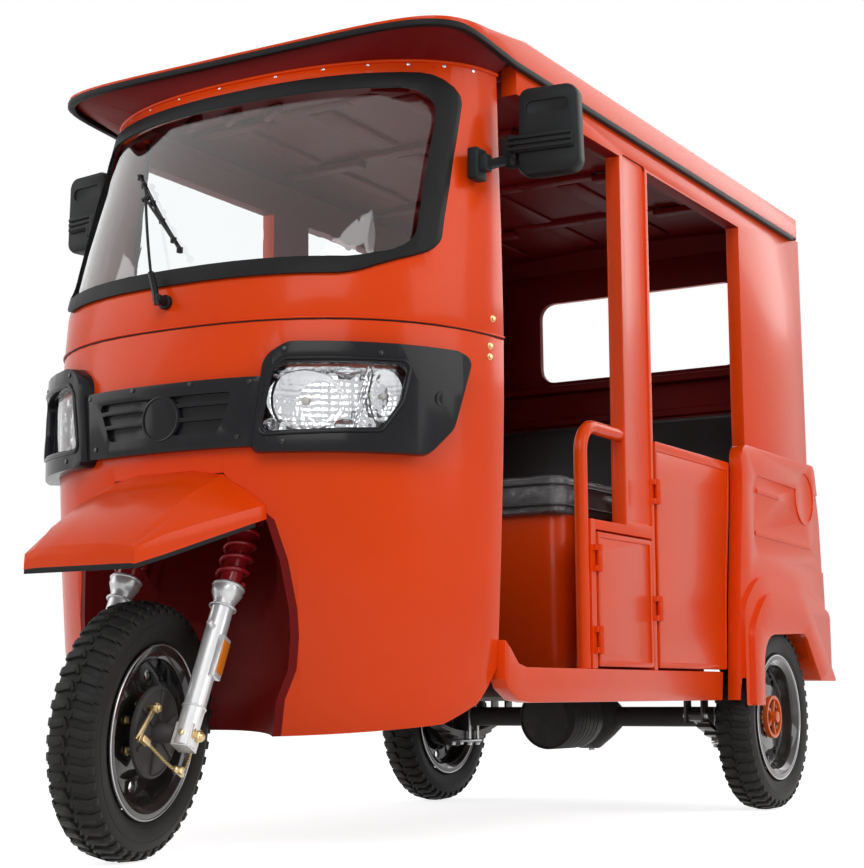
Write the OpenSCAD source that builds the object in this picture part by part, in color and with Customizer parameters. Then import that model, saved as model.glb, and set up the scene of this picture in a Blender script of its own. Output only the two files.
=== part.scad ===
// Electric rickshaw: a closed-cab passenger three-wheeler, in millimetres.
// +X is the vehicle's left, the front faces -Y, +Z is up and Z = 0 is the ground.

/* [Overall] */
// Distance between the front and rear axles
wheelbase = 2214; // [2190:2:2240]
// Distance between the middles of the rear tyres
track = 1130; // [1120:2:1140]
// Width of the body over its side walls
body_w = 1152; // [1140:2:1160]
// Distance the rear wheel panels stand out from the side walls
quarter_flare = 66; // [62:0.5:74]
// Height of the bottom of the sills
sill_bottom = 320; // [316:1:324]
// Height of the top of the sills and of the floor
sill_top = 400; // [396:1:404]
// Height of the gutter under the roof's edge
gutter_z = 1811; // [1800:1:1840]
// Rear end of the body at its waist
rear_y = 1471.5; // [1460:0.5:1474]

/* [Cab shell] */
// Wall of the cab's lower and upper shells
cab_wall = 25; // [18:1:28]
// Height of the seam between the two cab shells
seam_z = 1140; // [1136:1:1144]
// Straight stretches round the plan of the cab
cab_steps = 30; // [24:2:40]
// Radius of the wheel well at its widest
well_r = 318; // [312:1:322]
// Radius of the upper part of the well round the fork
well_fork_r = 195; // [190:1:200]
// Wall of the wheel well
well_wall = 18; // [10:1:20]

/* [Windscreen] */
// Distance of the windscreen opening from the cab's sides
screen_inset = 76; // [71:1:96]
// Height of the opening's bottom edge
screen_bottom = 1270; // [1260:1:1280]
// Height of the opening's top edge
screen_top = 1722; // [1710:1:1730]
// Thickness of the glass
glass_t = 5; // [4:1:6]
// Width of the rubber on the wall round the opening
rubber_w = 28; // [20:1:32]

/* [Lamps and grille] */
// Height of the middle of the lamps
lamp_z = 966; // [960:1:972]
// Height of a lamp bezel
bezel_h = 238; // [230:1:246]
// Stand-off of a lamp bezel from the cab
bezel_t = 32; // [24:1:40]
// Half width of the grille strip between the bezels
grille_half = 232; // [226:1:238]
// Height of the grille strip
grille_h = 150; // [140:1:160]

/* [Roof] */
// Height of the roof's vertical edge
roof_edge_h = 50; // [44:1:60]
// Rise of the crown over the edges
roof_crown = 42; // [30:1:60]
// Skin of the roof with its lining
roof_skin = 22; // [16:1:30]
// Reach of the visor ahead of the front of the windscreen's top
visor_y = -892; // [-900:1:-880]

/* [Side walls] */
// Thickness of the side walls
side_t = 40; // [36:1:44]
// Front edge of the centre pillar
pillar_y = 35; // [30:1:40]
// Width of the centre pillar along the vehicle
pillar_w = 178; // [170:1:184]
// Thickness of a door
door_t = 26; // [20:1:30]
// Gap round a door
door_gap = 6; // [5:1:8]
// Radius of a hinge pin
pin_r = 5; // [4:0.5:6]
// Radius of the bent tube ahead of the centre pillar
hoop_r = 17; // [15:0.5:19]

/* [Wheels] */
// Outer radius of a tyre
tyre_r = 270; // [266:1:272]
// Width of a tyre
tyre_w = 110; // [100:1:114]
// Radius of the rim's flange
rim_r = 176; // [170:1:182]
// Radius of the rear axle tube
axle_r = 30; // [26:1:34]

/* [Steering] */
// Rake of the fork, in degrees from the vertical
rake = 24; // [22:0.5:26]
// Distance of the wheel's axis ahead of the steering axis
fork_offset = 30; // [26:1:34]
// Turn of the front wheel to the left, in degrees
steer_rest = 12; // [0:1:20]
// Half the distance between the fork legs
leg_half = 125; // [120:1:128]
// Radius of a fork leg
leg_r = 24; // [22:0.5:26]
// Radius of a fork spring over its coils
spring_r = 37; // [34:0.5:40]

/* [Seats] */
// Half width of the driver's seat
seat_half = 420; // [400:1:440]
// Height of the driver's seat base
seat_base_z = 800; // [780:1:820]
// Front of the driver's seat base
seat_y = -20; // [-40:1:0]
// Height of the passenger seat's base
bench_z = 735; // [700:1:760]

/* [Hidden] */

eps = 0.01;
// Clearance between pieces that seat against each other, and of parts that pass each other
seat_gap = 0.3;
run_gap = 8;
body_half = body_w / 2;
quarter_half = body_half + quarter_flare;
front_axle_y = -1207;
rear_axle_y = front_axle_y + wheelbase;
orange = [0.85, 0.27, 0.08];
black = [0.09, 0.09, 0.1];
maroon = [0.3, 0.06, 0.05];
silver = [0.72, 0.73, 0.75];
rubber = [0.06, 0.06, 0.065];
$fn = 48;

screen_half = body_half - screen_inset;
// Plan of the cab at each height. Columns: height, tuck of the sides, front, exponent, rear edge
CAB_TABLE = [[230, 36, -1022, 2.4, -625], [330, 24, -1056, 2.4, -625],
  [450, 15, -1080, 2.4, -625], [650, 8, -1100, 2.4, -622], [850, 2, -1110, 2.4, -619],
  [1000, 0, -1110, 2.4, -616], [seam_z, 1, -1100, 2.4, -613], [1235, 4, -1090, 2.4, -610],
  [1400, 12, -1032, 2.35, -600], [1550, 21, -966, 2.35, -591], [1700, 30, -896, 2.3, -580],
  [1789, 35, -852, 2.3, -574]];
CAB = [for (row = CAB_TABLE) [row[0], body_half - row[1], row[2], row[3], row[4]]];
cab_y0 = -550;
cab_bottom = CAB[0][0];
cab_top = CAB[len(CAB) - 1][0];

function mix(a, b, t) = a + (b - a) * t;
function cab_row(z) =
  let (k = max([for (i = [0:len(CAB) - 2]) (CAB[i][0] <= z) ? i : 0]),
       t = (z - CAB[k][0]) / (CAB[k + 1][0] - CAB[k][0]))
  [for (c = [0:4]) mix(CAB[k][c], CAB[k + 1][c], t)];
function cab_heights(low, high) =
  concat([low], [for (row = CAB) if (row[0] > low + 4 && row[0] < high - 4) row[0]], [high]);
// Plan at height z, grown by off, from the left rear edge round the front to the right
function cab_ring(z, off, first = 0, last = cab_steps) =
  let (row = cab_row(z), half = row[1] + off, reach = cab_y0 - row[2] + off, n = row[3],
       start = asin(pow((cab_y0 - row[4]) / reach, n / 2)))
  [for (i = [first:last])
    let (a = start + (180 - 2 * start) * i / cab_steps)
    [half * sign(cos(a)) * pow(abs(cos(a)), 2 / n), cab_y0 - reach * pow(sin(a), 2 / n), z]];
// Front of the cab at a distance x from the middle
function cab_front(x, z, off = 0) =
  let (row = cab_row(z), reach = cab_y0 - row[2] + off)
  cab_y0 - reach * pow(1 - pow(abs(x) / (row[1] + off), row[3]), 1 / row[3]);
function split_quads(quads) = [for (q = quads) each [[q[0], q[1], q[2]], [q[0], q[2], q[3]]]];

// Wall between two offsets of the cab's surface, from one height to another
module cab_panel(low, high, off_in, off_out, first = 0, last = cab_steps) {
  zs = cab_heights(low, high);
  m = last - first + 1;
  points = [for (z = zs) each concat(cab_ring(z, off_out, first, last),
    cab_ring(z, off_in, first, last))];
  o = function (k, i) k * 2 * m + i;
  n = function (k, i) k * 2 * m + m + i;
  top = len(zs) - 1;
  quads = [
    for (k = [0:top - 1], i = [0:m - 2]) each [
      [o(k, i), o(k, i + 1), o(k + 1, i + 1), o(k + 1, i)],
      [n(k, i), n(k + 1, i), n(k + 1, i + 1), n(k, i + 1)]],
    for (k = [0:top - 1]) each [
      [o(k, 0), o(k + 1, 0), n(k + 1, 0), n(k, 0)],
      [n(k, m - 1), n(k + 1, m - 1), o(k + 1, m - 1), o(k, m - 1)]],
    for (i = [0:m - 2]) each [
      [o(0, i + 1), o(0, i), n(0, i), n(0, i + 1)],
      [o(top, i), o(top, i + 1), n(top, i + 1), n(top, i)]]];
  polyhedron(points, split_quads(quads));
}
// Everything inside an offset of the cab's surface
module cab_body(low, high, off) {
  zs = cab_heights(low, high);
  m = cab_steps + 1;
  points = [for (z = zs) each cab_ring(z, off)];
  top = len(zs) - 1;
  at = function (k, i) k * m + i % m;
  walls = [for (k = [0:top - 1], i = [0:m - 1])
    [at(k, i), at(k, i + 1), at(k + 1, i + 1), at(k + 1, i)]];
  polyhedron(points, concat(split_quads(walls),
    [[for (i = [m - 1:-1:0]) at(0, i)], [for (i = [0:m - 1]) at(top, i)]]));
}

module both_sides() {
  children();
  mirror([1, 0, 0]) children();
}
// A flat outline in the (y, z) plane made into a plate from x0 to x1
module side_plate(x0, x1) {
  translate([x0, 0, 0]) rotate([90, 0, 90]) linear_extrude(x1 - x0) children();
}
module along_y(y0, y1) {
  translate([0, y1, 0]) rotate([90, 0, 0]) linear_extrude(y1 - y0) children();
}
module box(low, high) { translate(low) cube(high - low); }
module rod(from, to, r) {
  d = to - from;
  translate(from) rotate([0, acos(d[2] / norm(d)), atan2(d[1], d[0])]) rotate([0, 0, 90])
    cylinder(h = norm(d), r = r);
}
// Points of a rounded outline: each corner is [x, y, radius], in turn round the outline
function rounded(corners, steps = 5) =
  [for (i = [0:len(corners) - 1])
    let (c = corners[i], p = [c[0], c[1]], r = c[2],
         a = corners[(i + len(corners) - 1) % len(corners)], b = corners[(i + 1) % len(corners)],
         u = [a[0] - c[0], a[1] - c[1]], v = [b[0] - c[0], b[1] - c[1]],
         un = u / norm(u), vn = v / norm(v), half = acos(un * vn) / 2,
         mid = p + (un + vn) / norm(un + vn) * r / sin(half),
         from = atan2((p + un * r / tan(half) - mid)[1], (p + un * r / tan(half) - mid)[0]),
         turn = 180 - 2 * half, way = sign(un[1] * vn[0] - un[0] * vn[1]))
    each (r > 0 ? [for (k = [0:steps]) mid + r * [cos(from - way * turn * k / steps * -1),
      sin(from - way * turn * k / steps * -1)]] : [p])];
module outline(corners, steps = 5) { polygon(rounded(corners, steps)); }

// Front suspension and steering: the steering axis in the plane x = 0
axis_dir = [0, sin(rake), cos(rake)];
hub_z = tyre_r;
axis_at_hub = [0, front_axle_y + fork_offset / cos(rake), hub_z];
function on_axis(z) = axis_at_hub + axis_dir * (z - hub_z) / cos(rake);
// Moves what is modelled round the fork, with z along the steering axis from the hub's height
module steered() {
  translate(axis_at_hub) rotate([-rake, 0, 0]) rotate([0, 0, steer_rest]) children();
}
// Height of the hub along the steering axis, so that the turned wheel still stands at z = 0
tilt_n = sin(rake) * sin(steer_rest);
hub_along = (tyre_r * sqrt(1 - tilt_n * tilt_n) - hub_z
  - fork_offset * sin(rake) * cos(steer_rest)) / cos(rake);

rail_x = body_half - 121;
rail_w = 50;
rail_top = sill_top - 14;
rail_bottom = sill_bottom + 4;
floor_bottom = rail_top;
rail_front = -600;
rail_rear = 1395;
cross_ys = [-590, 0, 560, 1180, 1345];
cross_w = 50;

module chassis_frame() {
  steering_head();
  color(black) {
    both_sides() {
      box([rail_x - rail_w / 2, rail_front, rail_bottom], [rail_x + rail_w / 2, rail_rear, rail_top]);
      spring_hangers();
    }
    for (y = cross_ys)
      box([-rail_x, y, rail_bottom + 6], [rail_x, y + cross_w, rail_top]);
  }
}

// Leaf springs under the rear axle, with their eyes at the rails' hangers
leaf_x = rail_x;
leaf_w = 44;
leaf_t = 7;
leaf_count = 4;
eye_half = 250;
eye_z = 277;
eye_r = 16;
eye_pin_r = 7;
leaf_sag = 58;
leaf_arc_r = (eye_half * eye_half + leaf_sag * leaf_sag) / (2 * leaf_sag);
ear_t = 6;
module spring_hangers() {
  for (s = [-1, 1], e = [-1, 1])
    translate([leaf_x + e * (leaf_w / 2 + 1 + ear_t / 2), rear_axle_y + s * eye_half, 0])
      difference() {
        translate([-ear_t / 2, -eye_r - 6, eye_z - eye_r - 4])
          cube([ear_t, 2 * eye_r + 12, rail_bottom - eye_z + eye_r + 4 + eps]);
        translate([-ear_t, 0, eye_z]) rotate([0, 90, 0])
          cylinder(h = 2 * ear_t, r = eye_pin_r + 0.05);
      }
}
// One leaf: an arc of a flat bar, centred under the axle
module leaf(k) {
  reach = eye_half * (1 - k * 0.22);
  r = leaf_arc_r + leaf_t * k;
  a = asin(reach / r);
  translate([leaf_x - leaf_w / 2, rear_axle_y, eye_z - leaf_sag + leaf_arc_r])
    rotate([0, 90, 0]) rotate([0, 0, -a])
      rotate_extrude(angle = 2 * a, $fn = 96)
        translate([r - leaf_t / 2, 0]) square([leaf_t, leaf_w]);
}
module leaf_springs() {
  color(black) both_sides() {
    difference() {
      union() {
        for (k = [0:leaf_count - 1]) leaf(k);
        for (s = [-1, 1])
          translate([leaf_x - leaf_w / 2, rear_axle_y + s * eye_half, eye_z]) rotate([0, 90, 0])
            cylinder(h = leaf_w, r = eye_r);
      }
      for (s = [-1, 1])
        translate([leaf_x - leaf_w, rear_axle_y + s * eye_half, eye_z]) rotate([0, 90, 0])
          cylinder(h = 2 * leaf_w, r = eye_pin_r + 0.05);
    }
    for (s = [-1, 1])
      translate([leaf_x - leaf_w / 2 - ear_t - 8, rear_axle_y + s * eye_half, eye_z])
        rotate([0, 90, 0]) cylinder(h = leaf_w + 2 * ear_t + 16, r = eye_pin_r);
  }
}

// Rear axle: tube, drive casing with its motor, and drums; seats on the spring saddles
drum_r = 92;
drum_w = 46;
spindle_r = 12;
rim_half = 50;
wheel_x = track / 2;
saddle_top = eye_z - leaf_sag + leaf_t;
module rear_axle() {
  tube_half = wheel_x - tyre_w / 2 - 26;
  color(black) translate([0, rear_axle_y, hub_z]) {
    rotate([0, 90, 0]) cylinder(h = 2 * tube_half, r = axle_r, center = true);
    rotate([0, 90, 0]) rotate_extrude() polygon([[0, -82], [86, -82], [86, -46], [98, -34],
      [98, 20], [64, 66], [38, 96], [0, 96]]);
    rotate([90, 0, 0]) cylinder(h = 320, r = 72);
    translate([0, -110, 0]) rotate([90, 0, 0]) cylinder(h = 190, r = 92);
    both_sides() {
      translate([tube_half - eps, 0, 0]) rotate([0, 90, 0]) cylinder(h = 22, r = drum_r + 4);
      translate([tube_half, 0, 0]) rotate([0, 90, 0])
        cylinder(h = wheel_x + 34 - tube_half, r = spindle_r);
      translate([leaf_x - 26, -34, saddle_top + seat_gap - hub_z])
        cube([52, 68, axle_r - 6 + hub_z - saddle_top - axle_r]);
    }
  }
}

// Tyres and rims, about their own axis along x
module tyre_body() {
  shoulder = tyre_w * 0.36;
  rotate([0, 90, 0]) rotate_extrude($fn = 120)
    polygon(concat(
      [[rim_r + 2, -tyre_w * 0.34], [rim_r + 22, -tyre_w * 0.46], [tyre_r - 52, -tyre_w / 2],
       [tyre_r - 22, -tyre_w * 0.47]],
      [for (k = [-3:3]) [tyre_r - 9 * pow(k / 3, 2), shoulder * k / 3 * 1.1]],
      [[tyre_r - 22, tyre_w * 0.47], [tyre_r - 52, tyre_w / 2], [rim_r + 22, tyre_w * 0.46],
       [rim_r + 2, tyre_w * 0.34]]));
}
// Rim with a dished disc; dish is the disc's place along the axis
module rim_body(dish, bore_r, windows = 10) {
  barrel_r = rim_r - 18;
  difference() {
    rotate([0, 90, 0]) rotate_extrude($fn = 96)
      polygon([[rim_r + 1.7, -rim_half + 8], [rim_r + 8, -rim_half], [rim_r - 8, -rim_half - 2],
        [barrel_r - 6, -rim_half + 8], [barrel_r - 18, -10], [barrel_r - 18, dish - 10],
        [bore_r + 70, dish - 10], [bore_r + 50, dish + 2], [bore_r, dish + 2],
        [bore_r, dish + 12], [bore_r + 54, dish + 12], [bore_r + 76, dish],
        [barrel_r - 12, dish], [barrel_r - 6, rim_half - 8], [rim_r - 8, rim_half + 2],
        [rim_r + 8, rim_half], [rim_r + 1.7, rim_half - 8], [rim_r - 14, rim_half - 20],
        [rim_r - 14, -rim_half + 20]]);
    for (i = [0:windows - 1])
      rotate([360 / windows * i, 0, 0]) translate([dish - 30, 0, barrel_r - 36])
        rotate([0, 90, 0]) cylinder(h = 60, r = 13);
  }
}
module front_rim() {
  color(black) front_hub() {
    rim_body(-6, 26);
    rotate([0, 90, 0]) difference() {
      translate([0, 0, -60]) cylinder(h = 100, r = 40);
      translate([0, 0, -61]) cylinder(h = 102, r = front_axle_r + 0.05);
    }
  }
}
front_axle_r = 9;
module front_hub() {
  steered() translate([0, -fork_offset, hub_along])
    children();
}
module front_tyre() { color(rubber) front_hub() tyre_body(); }

module rear_wheel_at(side) {
  translate([side * wheel_x, rear_axle_y, hub_z]) mirror([side < 0 ? 1 : 0, 0, 0]) children();
}
module rear_rim() {
  color(black) {
    rim_body(6, 40);
    rotate([0, 90, 0]) difference() {
      translate([0, 0, -50]) cylinder(h = 72, r = 44);
      translate([0, 0, -51]) cylinder(h = 74, r = spindle_r + 0.05);
    }
    rotate([0, 90, 0]) difference() {
      translate([0, 0, -54]) cylinder(h = drum_w, r = drum_r);
      translate([0, 0, -55]) cylinder(h = drum_w + 2, r = 43);
    }
  }
}
// Ring with five even spokes over the hub
cap_r = 62;
module rear_cap() {
  color([0.9, 0.2, 0.1]) rotate([0, 90, 0]) translate([0, 0, 22 + seat_gap]) {
    difference() {
      cylinder(h = 14, r = cap_r);
      translate([0, 0, -1]) cylinder(h = 16, r = cap_r - 9);
    }
    difference() {
      cylinder(h = 24, r = 16);
      translate([0, 0, -1]) cylinder(h = 18, r = spindle_r + 1);
    }
    for (k = [0:4]) rotate(72 * k + 90) translate([15, -4, 2]) cube([cap_r - 20, 8, 8]);
  }
}
module rear_tyre_left() { color(rubber) rear_wheel_at(1) tyre_body(); }
module rear_tyre_right() { color(rubber) rear_wheel_at(-1) tyre_body(); }
module rear_rim_left() { rear_wheel_at(1) rear_rim(); }
module rear_rim_right() { rear_wheel_at(-1) rear_rim(); }
module rear_cap_left() { rear_wheel_at(1) rear_cap(); }
module rear_cap_right() { rear_wheel_at(-1) rear_cap(); }

// Fork, in the steered frame: z runs up the steering axis from hub height
leg_y = -fork_offset - 3;
leg_top = 342;
leg_low = -26;
collar_r = 34;
spring_top = 572;
yoke_t = 26;
module fork_legs() {
  color(silver) steered() difference() {
    for (s = [-1, 1]) translate([s * leg_half, 0, 0]) {
      translate([0, leg_y, hub_along + leg_low]) cylinder(h = leg_top - leg_low - 30, r = leg_r);
      translate([0, leg_y, hub_along + leg_top - 40]) cylinder(h = 22, r1 = leg_r, r2 = collar_r);
      translate([0, leg_y, hub_along + leg_top - 18]) cylinder(h = 18, r = collar_r);
      translate([-leg_r + 4, -fork_offset - 22, hub_along + leg_low - 4])
        cube([2 * leg_r - 8, 44, 50]);
      translate([0, leg_y, hub_along + leg_top - eps])
        cylinder(h = spring_top - leg_top + yoke_t + 10, r = 14);
      mirror([s < 0 ? 1 : 0, 0, 0]) translate([leg_r - 4, leg_y - 17, hub_along + 130])
        cube([12, 34, 92]);
    }
    translate([0, -fork_offset, hub_along]) rotate([0, 90, 0])
      cylinder(h = 400, r = front_axle_r + 0.05, center = true);
  }
}
// Closed coil of the fork spring as a swept tube
coil_turns = 7;
coil_wire = 5;
coil_sides = 6;
coil_rings = 12;
module fork_springs() {
  turn_h = (spring_top - leg_top - 2 * seat_gap - 2 * coil_wire) / coil_turns;
  mean_r = spring_r - coil_wire;
  count = coil_turns * coil_rings;
  points = [for (j = [0:count], k = [0:coil_sides - 1])
    let (a = 360 * j / coil_rings, b = 360 * k / coil_sides,
         r = mean_r + coil_wire * cos(b))
    [r * cos(a), r * sin(a), turn_h * j / coil_rings + coil_wire * sin(b)]];
  at = function (j, k) j * coil_sides + k % coil_sides;
  quads = [for (j = [0:count - 1], k = [0:coil_sides - 1])
    [at(j, k), at(j, k + 1), at(j + 1, k + 1), at(j + 1, k)]];
  color([0.55, 0.04, 0.06]) steered() for (s = [-1, 1])
    translate([s * leg_half, leg_y, hub_along + leg_top + seat_gap + coil_wire])
      polyhedron(points, concat(split_quads(quads),
        [[for (k = [coil_sides - 1:-1:0]) at(0, k)], [for (k = [0:coil_sides - 1]) at(count, k)]]));
}
head_low = 596;
head_high = 800;
bar_along = 900;
stem_r = 16;
module fork_yokes() {
  color(black) steered() difference() {
    union() {
      for (s = [-1, 1]) translate([s * leg_half, leg_y, hub_along + spring_top])
        cylinder(h = yoke_t, r = 30);
      translate([-leg_half, leg_y - 24, hub_along + spring_top]) cube([2 * leg_half, 60, yoke_t]);
      cylinder(h = bar_along, r = stem_r);
    }
    translate([0, 0, -1]) cylinder(h = hub_along + spring_top + 1, r = 40);
    for (s = [-1, 1]) translate([s * leg_half, leg_y, hub_along + spring_top - 1])
      cylinder(h = yoke_t + 2, r = 14.05);
  }
}
bar_half = 300;
module handlebar() {
  bar_z = bar_along + seat_gap;
  color(black) steered() {
    translate([0, 0, bar_z]) cylinder(h = 34, r = 26);
    for (s = [-1, 1]) {
      rod([0, 0, bar_z + 20], [s * 150, 20, bar_z + 50], 11);
      rod([s * 148, 19.6, bar_z + 49.6], [s * bar_half, 80, bar_z + 50], 11);
      rod([s * 205, 42, bar_z + 49.8], [s * (bar_half + 2), 80.8, bar_z + 50], 17);
    }
  }
}
// Brake plate in the rim, with its lever, its cable and the wheel spindle. The cable runs from
// the lever through its stop on the leg, then up behind the spring to the yoke
BRAKE_CABLE = [[82, -92, -50], [92, 63, -57], [92, 92, -30], [92, 96, 30], [92, 60, 330],
  [84, 34, 500], [78, 10, 570]];
module front_brake() {
  color(black) front_hub() {
    rotate([0, 90, 0]) cylinder(h = 2 * (leg_half + leg_r + 16), r = front_axle_r, center = true);
    translate([44, 0, 0]) rotate([0, 90, 0]) cylinder(h = 10, r = 96);
    translate([53, 0, 0]) rotate([0, 90, 0]) cylinder(h = leg_half - leg_r - 54 - seat_gap, r = 18);
    translate([53, -62, 30]) rotate([0, 90, 0]) cylinder(h = 22, r = 8);
    translate([66, -62, 30]) rotate([160, 0, 0]) translate([0, -7, 0]) cube([5, 14, 88]);
    rod([68, -92, -50], [84, -92, -50], 5);
    translate([80, 60, -62]) cube([24, 12, 12]);
    for (k = [0:len(BRAKE_CABLE) - 2]) rod(BRAKE_CABLE[k], BRAKE_CABLE[k + 1], 4);
    for (k = [1:len(BRAKE_CABLE) - 2]) translate(BRAKE_CABLE[k]) sphere(r = 4.8);
  }
}
// Steering head and its struts, which rise behind the wheel well
head_r = 30;
strut_r = 14;
strut_foot = [150, rail_front + 35, rail_top - 12];
strut_knee = [60, -652, 850];
module steering_head() {
  color(black) {
    steered() difference() {
      translate([0, 0, head_low]) cylinder(h = head_high - head_low, r = head_r);
      translate([0, 0, head_low - 1]) cylinder(h = head_high - head_low + 2, r = stem_r + 0.05);
    }
    difference() {
      both_sides() {
        rod(strut_foot, strut_knee, strut_r);
        translate(strut_knee) rotate([0, 90, 0]) cylinder(h = 36, r = strut_r + 4, center = true);
        rod(strut_knee, [16, on_axis(940)[1] + 10, 940], strut_r);
      }
      translate(axis_at_hub) rotate([-rake, 0, 0]) cylinder(h = 900, r = head_r - 4);
    }
  }
}

// Well for the steered wheel. Profile columns: height, share of the widest radius
WELL = [[cab_bottom - 20, 0.86], [330, 0.9], [392, 0.98], [460, 1], [520, 0.99], [622, 0.93],
  [707, 0.84], [745, 0.7]];
well_y = -1180;
well_top_along = 640;
module well_space(grow) {
  translate([0, well_y, 0]) rotate_extrude($fn = 96)
    polygon(concat([[0, WELL[0][0]]], [for (w = WELL) [w[1] * well_r + grow, w[0]]],
      [[0.5 * well_r + grow, WELL[len(WELL) - 1][0] + grow],
       [0, WELL[len(WELL) - 1][0] + grow]]));
  translate(axis_at_hub) rotate([-rake, 0, 0]) translate([0, 0, 250])
    cylinder(h = well_top_along - 250 + grow, r = well_fork_r + grow, $fn = 96);
}
// Slanted lower edge of the cab in the (y, z) plane
module cab_under() {
  side_plate(-700, 700)
    polygon([[-1200, 100], [-1200, 246], [-1030, 250], [-780, 276], [-690, 318], [-655, 356],
      [-625, sill_top - 2], [-500, sill_top - 2], [-500, 100]]);
}
module cab_nose() {
  color(orange) difference() {
    cab_panel(cab_bottom, seam_z, -cab_wall, 0);
    cab_under();
    well_space(well_wall + seat_gap);
    for (s = [0, 1]) mirror([s, 0, 0]) lamp_cut(lens_corners(seat_gap + 4));
  }
}
module wheel_well() {
  color(orange) difference() {
    intersection() {
      well_space(well_wall);
      cab_body(cab_bottom, seam_z, -1);
    }
    well_space(0);
    cab_under();
    translate(axis_at_hub) rotate([-rake, 0, 0]) cylinder(h = 900, r = head_r + seat_gap);
  }
}
// Outline of the windscreen in the (x, z) plane, grown by more at the wrapped sides
function screen_corners(grow) = [
  [-screen_half - grow * 0.7, screen_bottom + 40, 60], [-screen_half * 0.8, screen_bottom - grow, 120],
  [screen_half * 0.8, screen_bottom - grow, 120], [screen_half + grow * 0.7, screen_bottom + 40, 60],
  [screen_half - 4 + grow * 0.7, screen_top + grow, 70],
  [-screen_half + 4 - grow * 0.7, screen_top + grow, 70]];
// Underside of the visor, spreading from the cab's top out to the roof's edge
module visor_soffit() {
  m = cab_steps + 1;
  skin = 9;
  head = function (inset) [for (p = visor_ring(inset))
    [p[0], min(p[1], CAB[len(CAB) - 1][4]), roof_low - seat_gap + visor_edge(p[1])]];
  points = concat(cab_ring(cab_top - 6, -1), head(14), cab_ring(cab_top - 6, -1 - skin),
    head(14 + skin));
  quads = [for (i = [0:m - 2]) each [
      [i, i + 1, m + i + 1, m + i],
      [2 * m + i, 3 * m + i, 3 * m + i + 1, 2 * m + i + 1],
      [i + 1, i, 2 * m + i, 2 * m + i + 1],
      [m + i, m + i + 1, 3 * m + i + 1, 3 * m + i]],
    [0, m, 3 * m, 2 * m], [m - 1, 3 * m - 1, 4 * m - 1, 2 * m - 1]];
  polyhedron(points, split_quads(quads));
}
module cab_surround() {
  color(orange) difference() {
    cab_panel(seam_z + seat_gap, cab_top, -cab_wall, 0);
    along_y(-1300, -560) outline(screen_corners(0));
  }
  color(orange) visor_soffit();
}
module windscreen_glass() {
  color([0.7, 0.8, 0.85, 0.4]) intersection() {
    cab_panel(screen_bottom - 60, screen_top + 40, -glass_t - 6, -6, 2, cab_steps - 2);
    along_y(-1300, -560) outline(screen_corners(-seat_gap));
  }
}
// Rubber round the screen, standing proud of the cab
module windscreen_seal() {
  color(rubber) difference() {
    intersection() {
      cab_panel(screen_bottom - 60, screen_top + 60, seat_gap, 9, 1, cab_steps - 1);
      along_y(-1300, -560) outline(screen_corners(rubber_w));
    }
    along_y(-1300, -560) outline(screen_corners(-12));
  }
}
module dash_panel() {
  low = 1030;
  ring = cab_ring(seam_z, -cab_wall - seat_gap);
  cut_y = -850;
  color(black) {
    difference() {
      translate([0, 0, low]) linear_extrude(seam_z - low)
        polygon([for (p = ring) [p[0], p[1]]]);
      box([-700, cut_y, low - 1], [700, 0, seam_z + 1]);
      box([-480, -1050, low - 1], [480, cut_y - 30, seam_z - 24]);
      translate(axis_at_hub) rotate([-rake, 0, 0]) cylinder(h = 1100, r = 60);
    }
    box([-90, -985, seam_z - eps], [90, -930, seam_z + 52]);
  }
}

// Lamp outlines, in a plane turned about z so that it faces the front corner of the cab
lamp_turn = 40;
module lamp_plane() {
  rotate([0, 0, lamp_turn]) translate([0, 0, lamp_z]) rotate([90, 0, 0])
    linear_extrude(1500) children();
}
module lamp_cut(corners) { lamp_plane() outline(corners); }
// Distance along the lamp plane of a point of the plan
function lamp_u(x, y) = x * cos(lamp_turn) + y * sin(lamp_turn);
bezel_in = lamp_u(grille_half, -1106);
bezel_out = lamp_u(583, -784);
function bezel_outline(grow) = [[bezel_in - 4 - grow, -bezel_h / 2 + 2, 18],
  [bezel_in + 20 - grow, bezel_h / 2 - 30, 50],
  [bezel_in + 70, bezel_h / 2 + grow, 40], [bezel_out - 30, bezel_h / 2 - 4, 30],
  [bezel_out + 8, bezel_h / 2 - 18, 20], [bezel_out - 40, -bezel_h / 2 + 60, 60],
  [bezel_out - 100, -bezel_h / 2, 40]];
function lens_corners(grow) = [[bezel_in + 16 - grow, -74 - grow, 14], [bezel_in + 40 - grow, 56, 30],
  [bezel_in + 62, 74 + grow, 20], [bezel_out - 146 + grow, 74 + grow, 18],
  [bezel_out - 166 + grow, -10, 40], [bezel_out - 206, -66 - grow, 20]];
lamp_low = lamp_z - bezel_h / 2 - 10;
lamp_high = lamp_z + bezel_h / 2 + 10;
module lamp_bezels() {
  color(black) both_sides() difference() {
    intersection() {
      cab_panel(lamp_low, lamp_high, seat_gap, bezel_t, 1, cab_steps / 2 - 1);
      lamp_cut(bezel_outline(0));
    }
    lamp_cut(lens_corners(0));
  }
}
module lamp_lenses() {
  color([0.85, 0.88, 0.9, 0.4]) both_sides() intersection() {
    cab_panel(lamp_low, lamp_high, 6, 10, 1, cab_steps / 2 - 1);
    lamp_cut(lens_corners(-seat_gap));
  }
}
module lamp_reflectors() {
  color(silver) both_sides() intersection() {
    cab_panel(lamp_low, lamp_high, -cab_wall, -cab_wall + 6, 1, cab_steps / 2 - 1);
    lamp_cut(lens_corners(4));
  }
}
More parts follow.
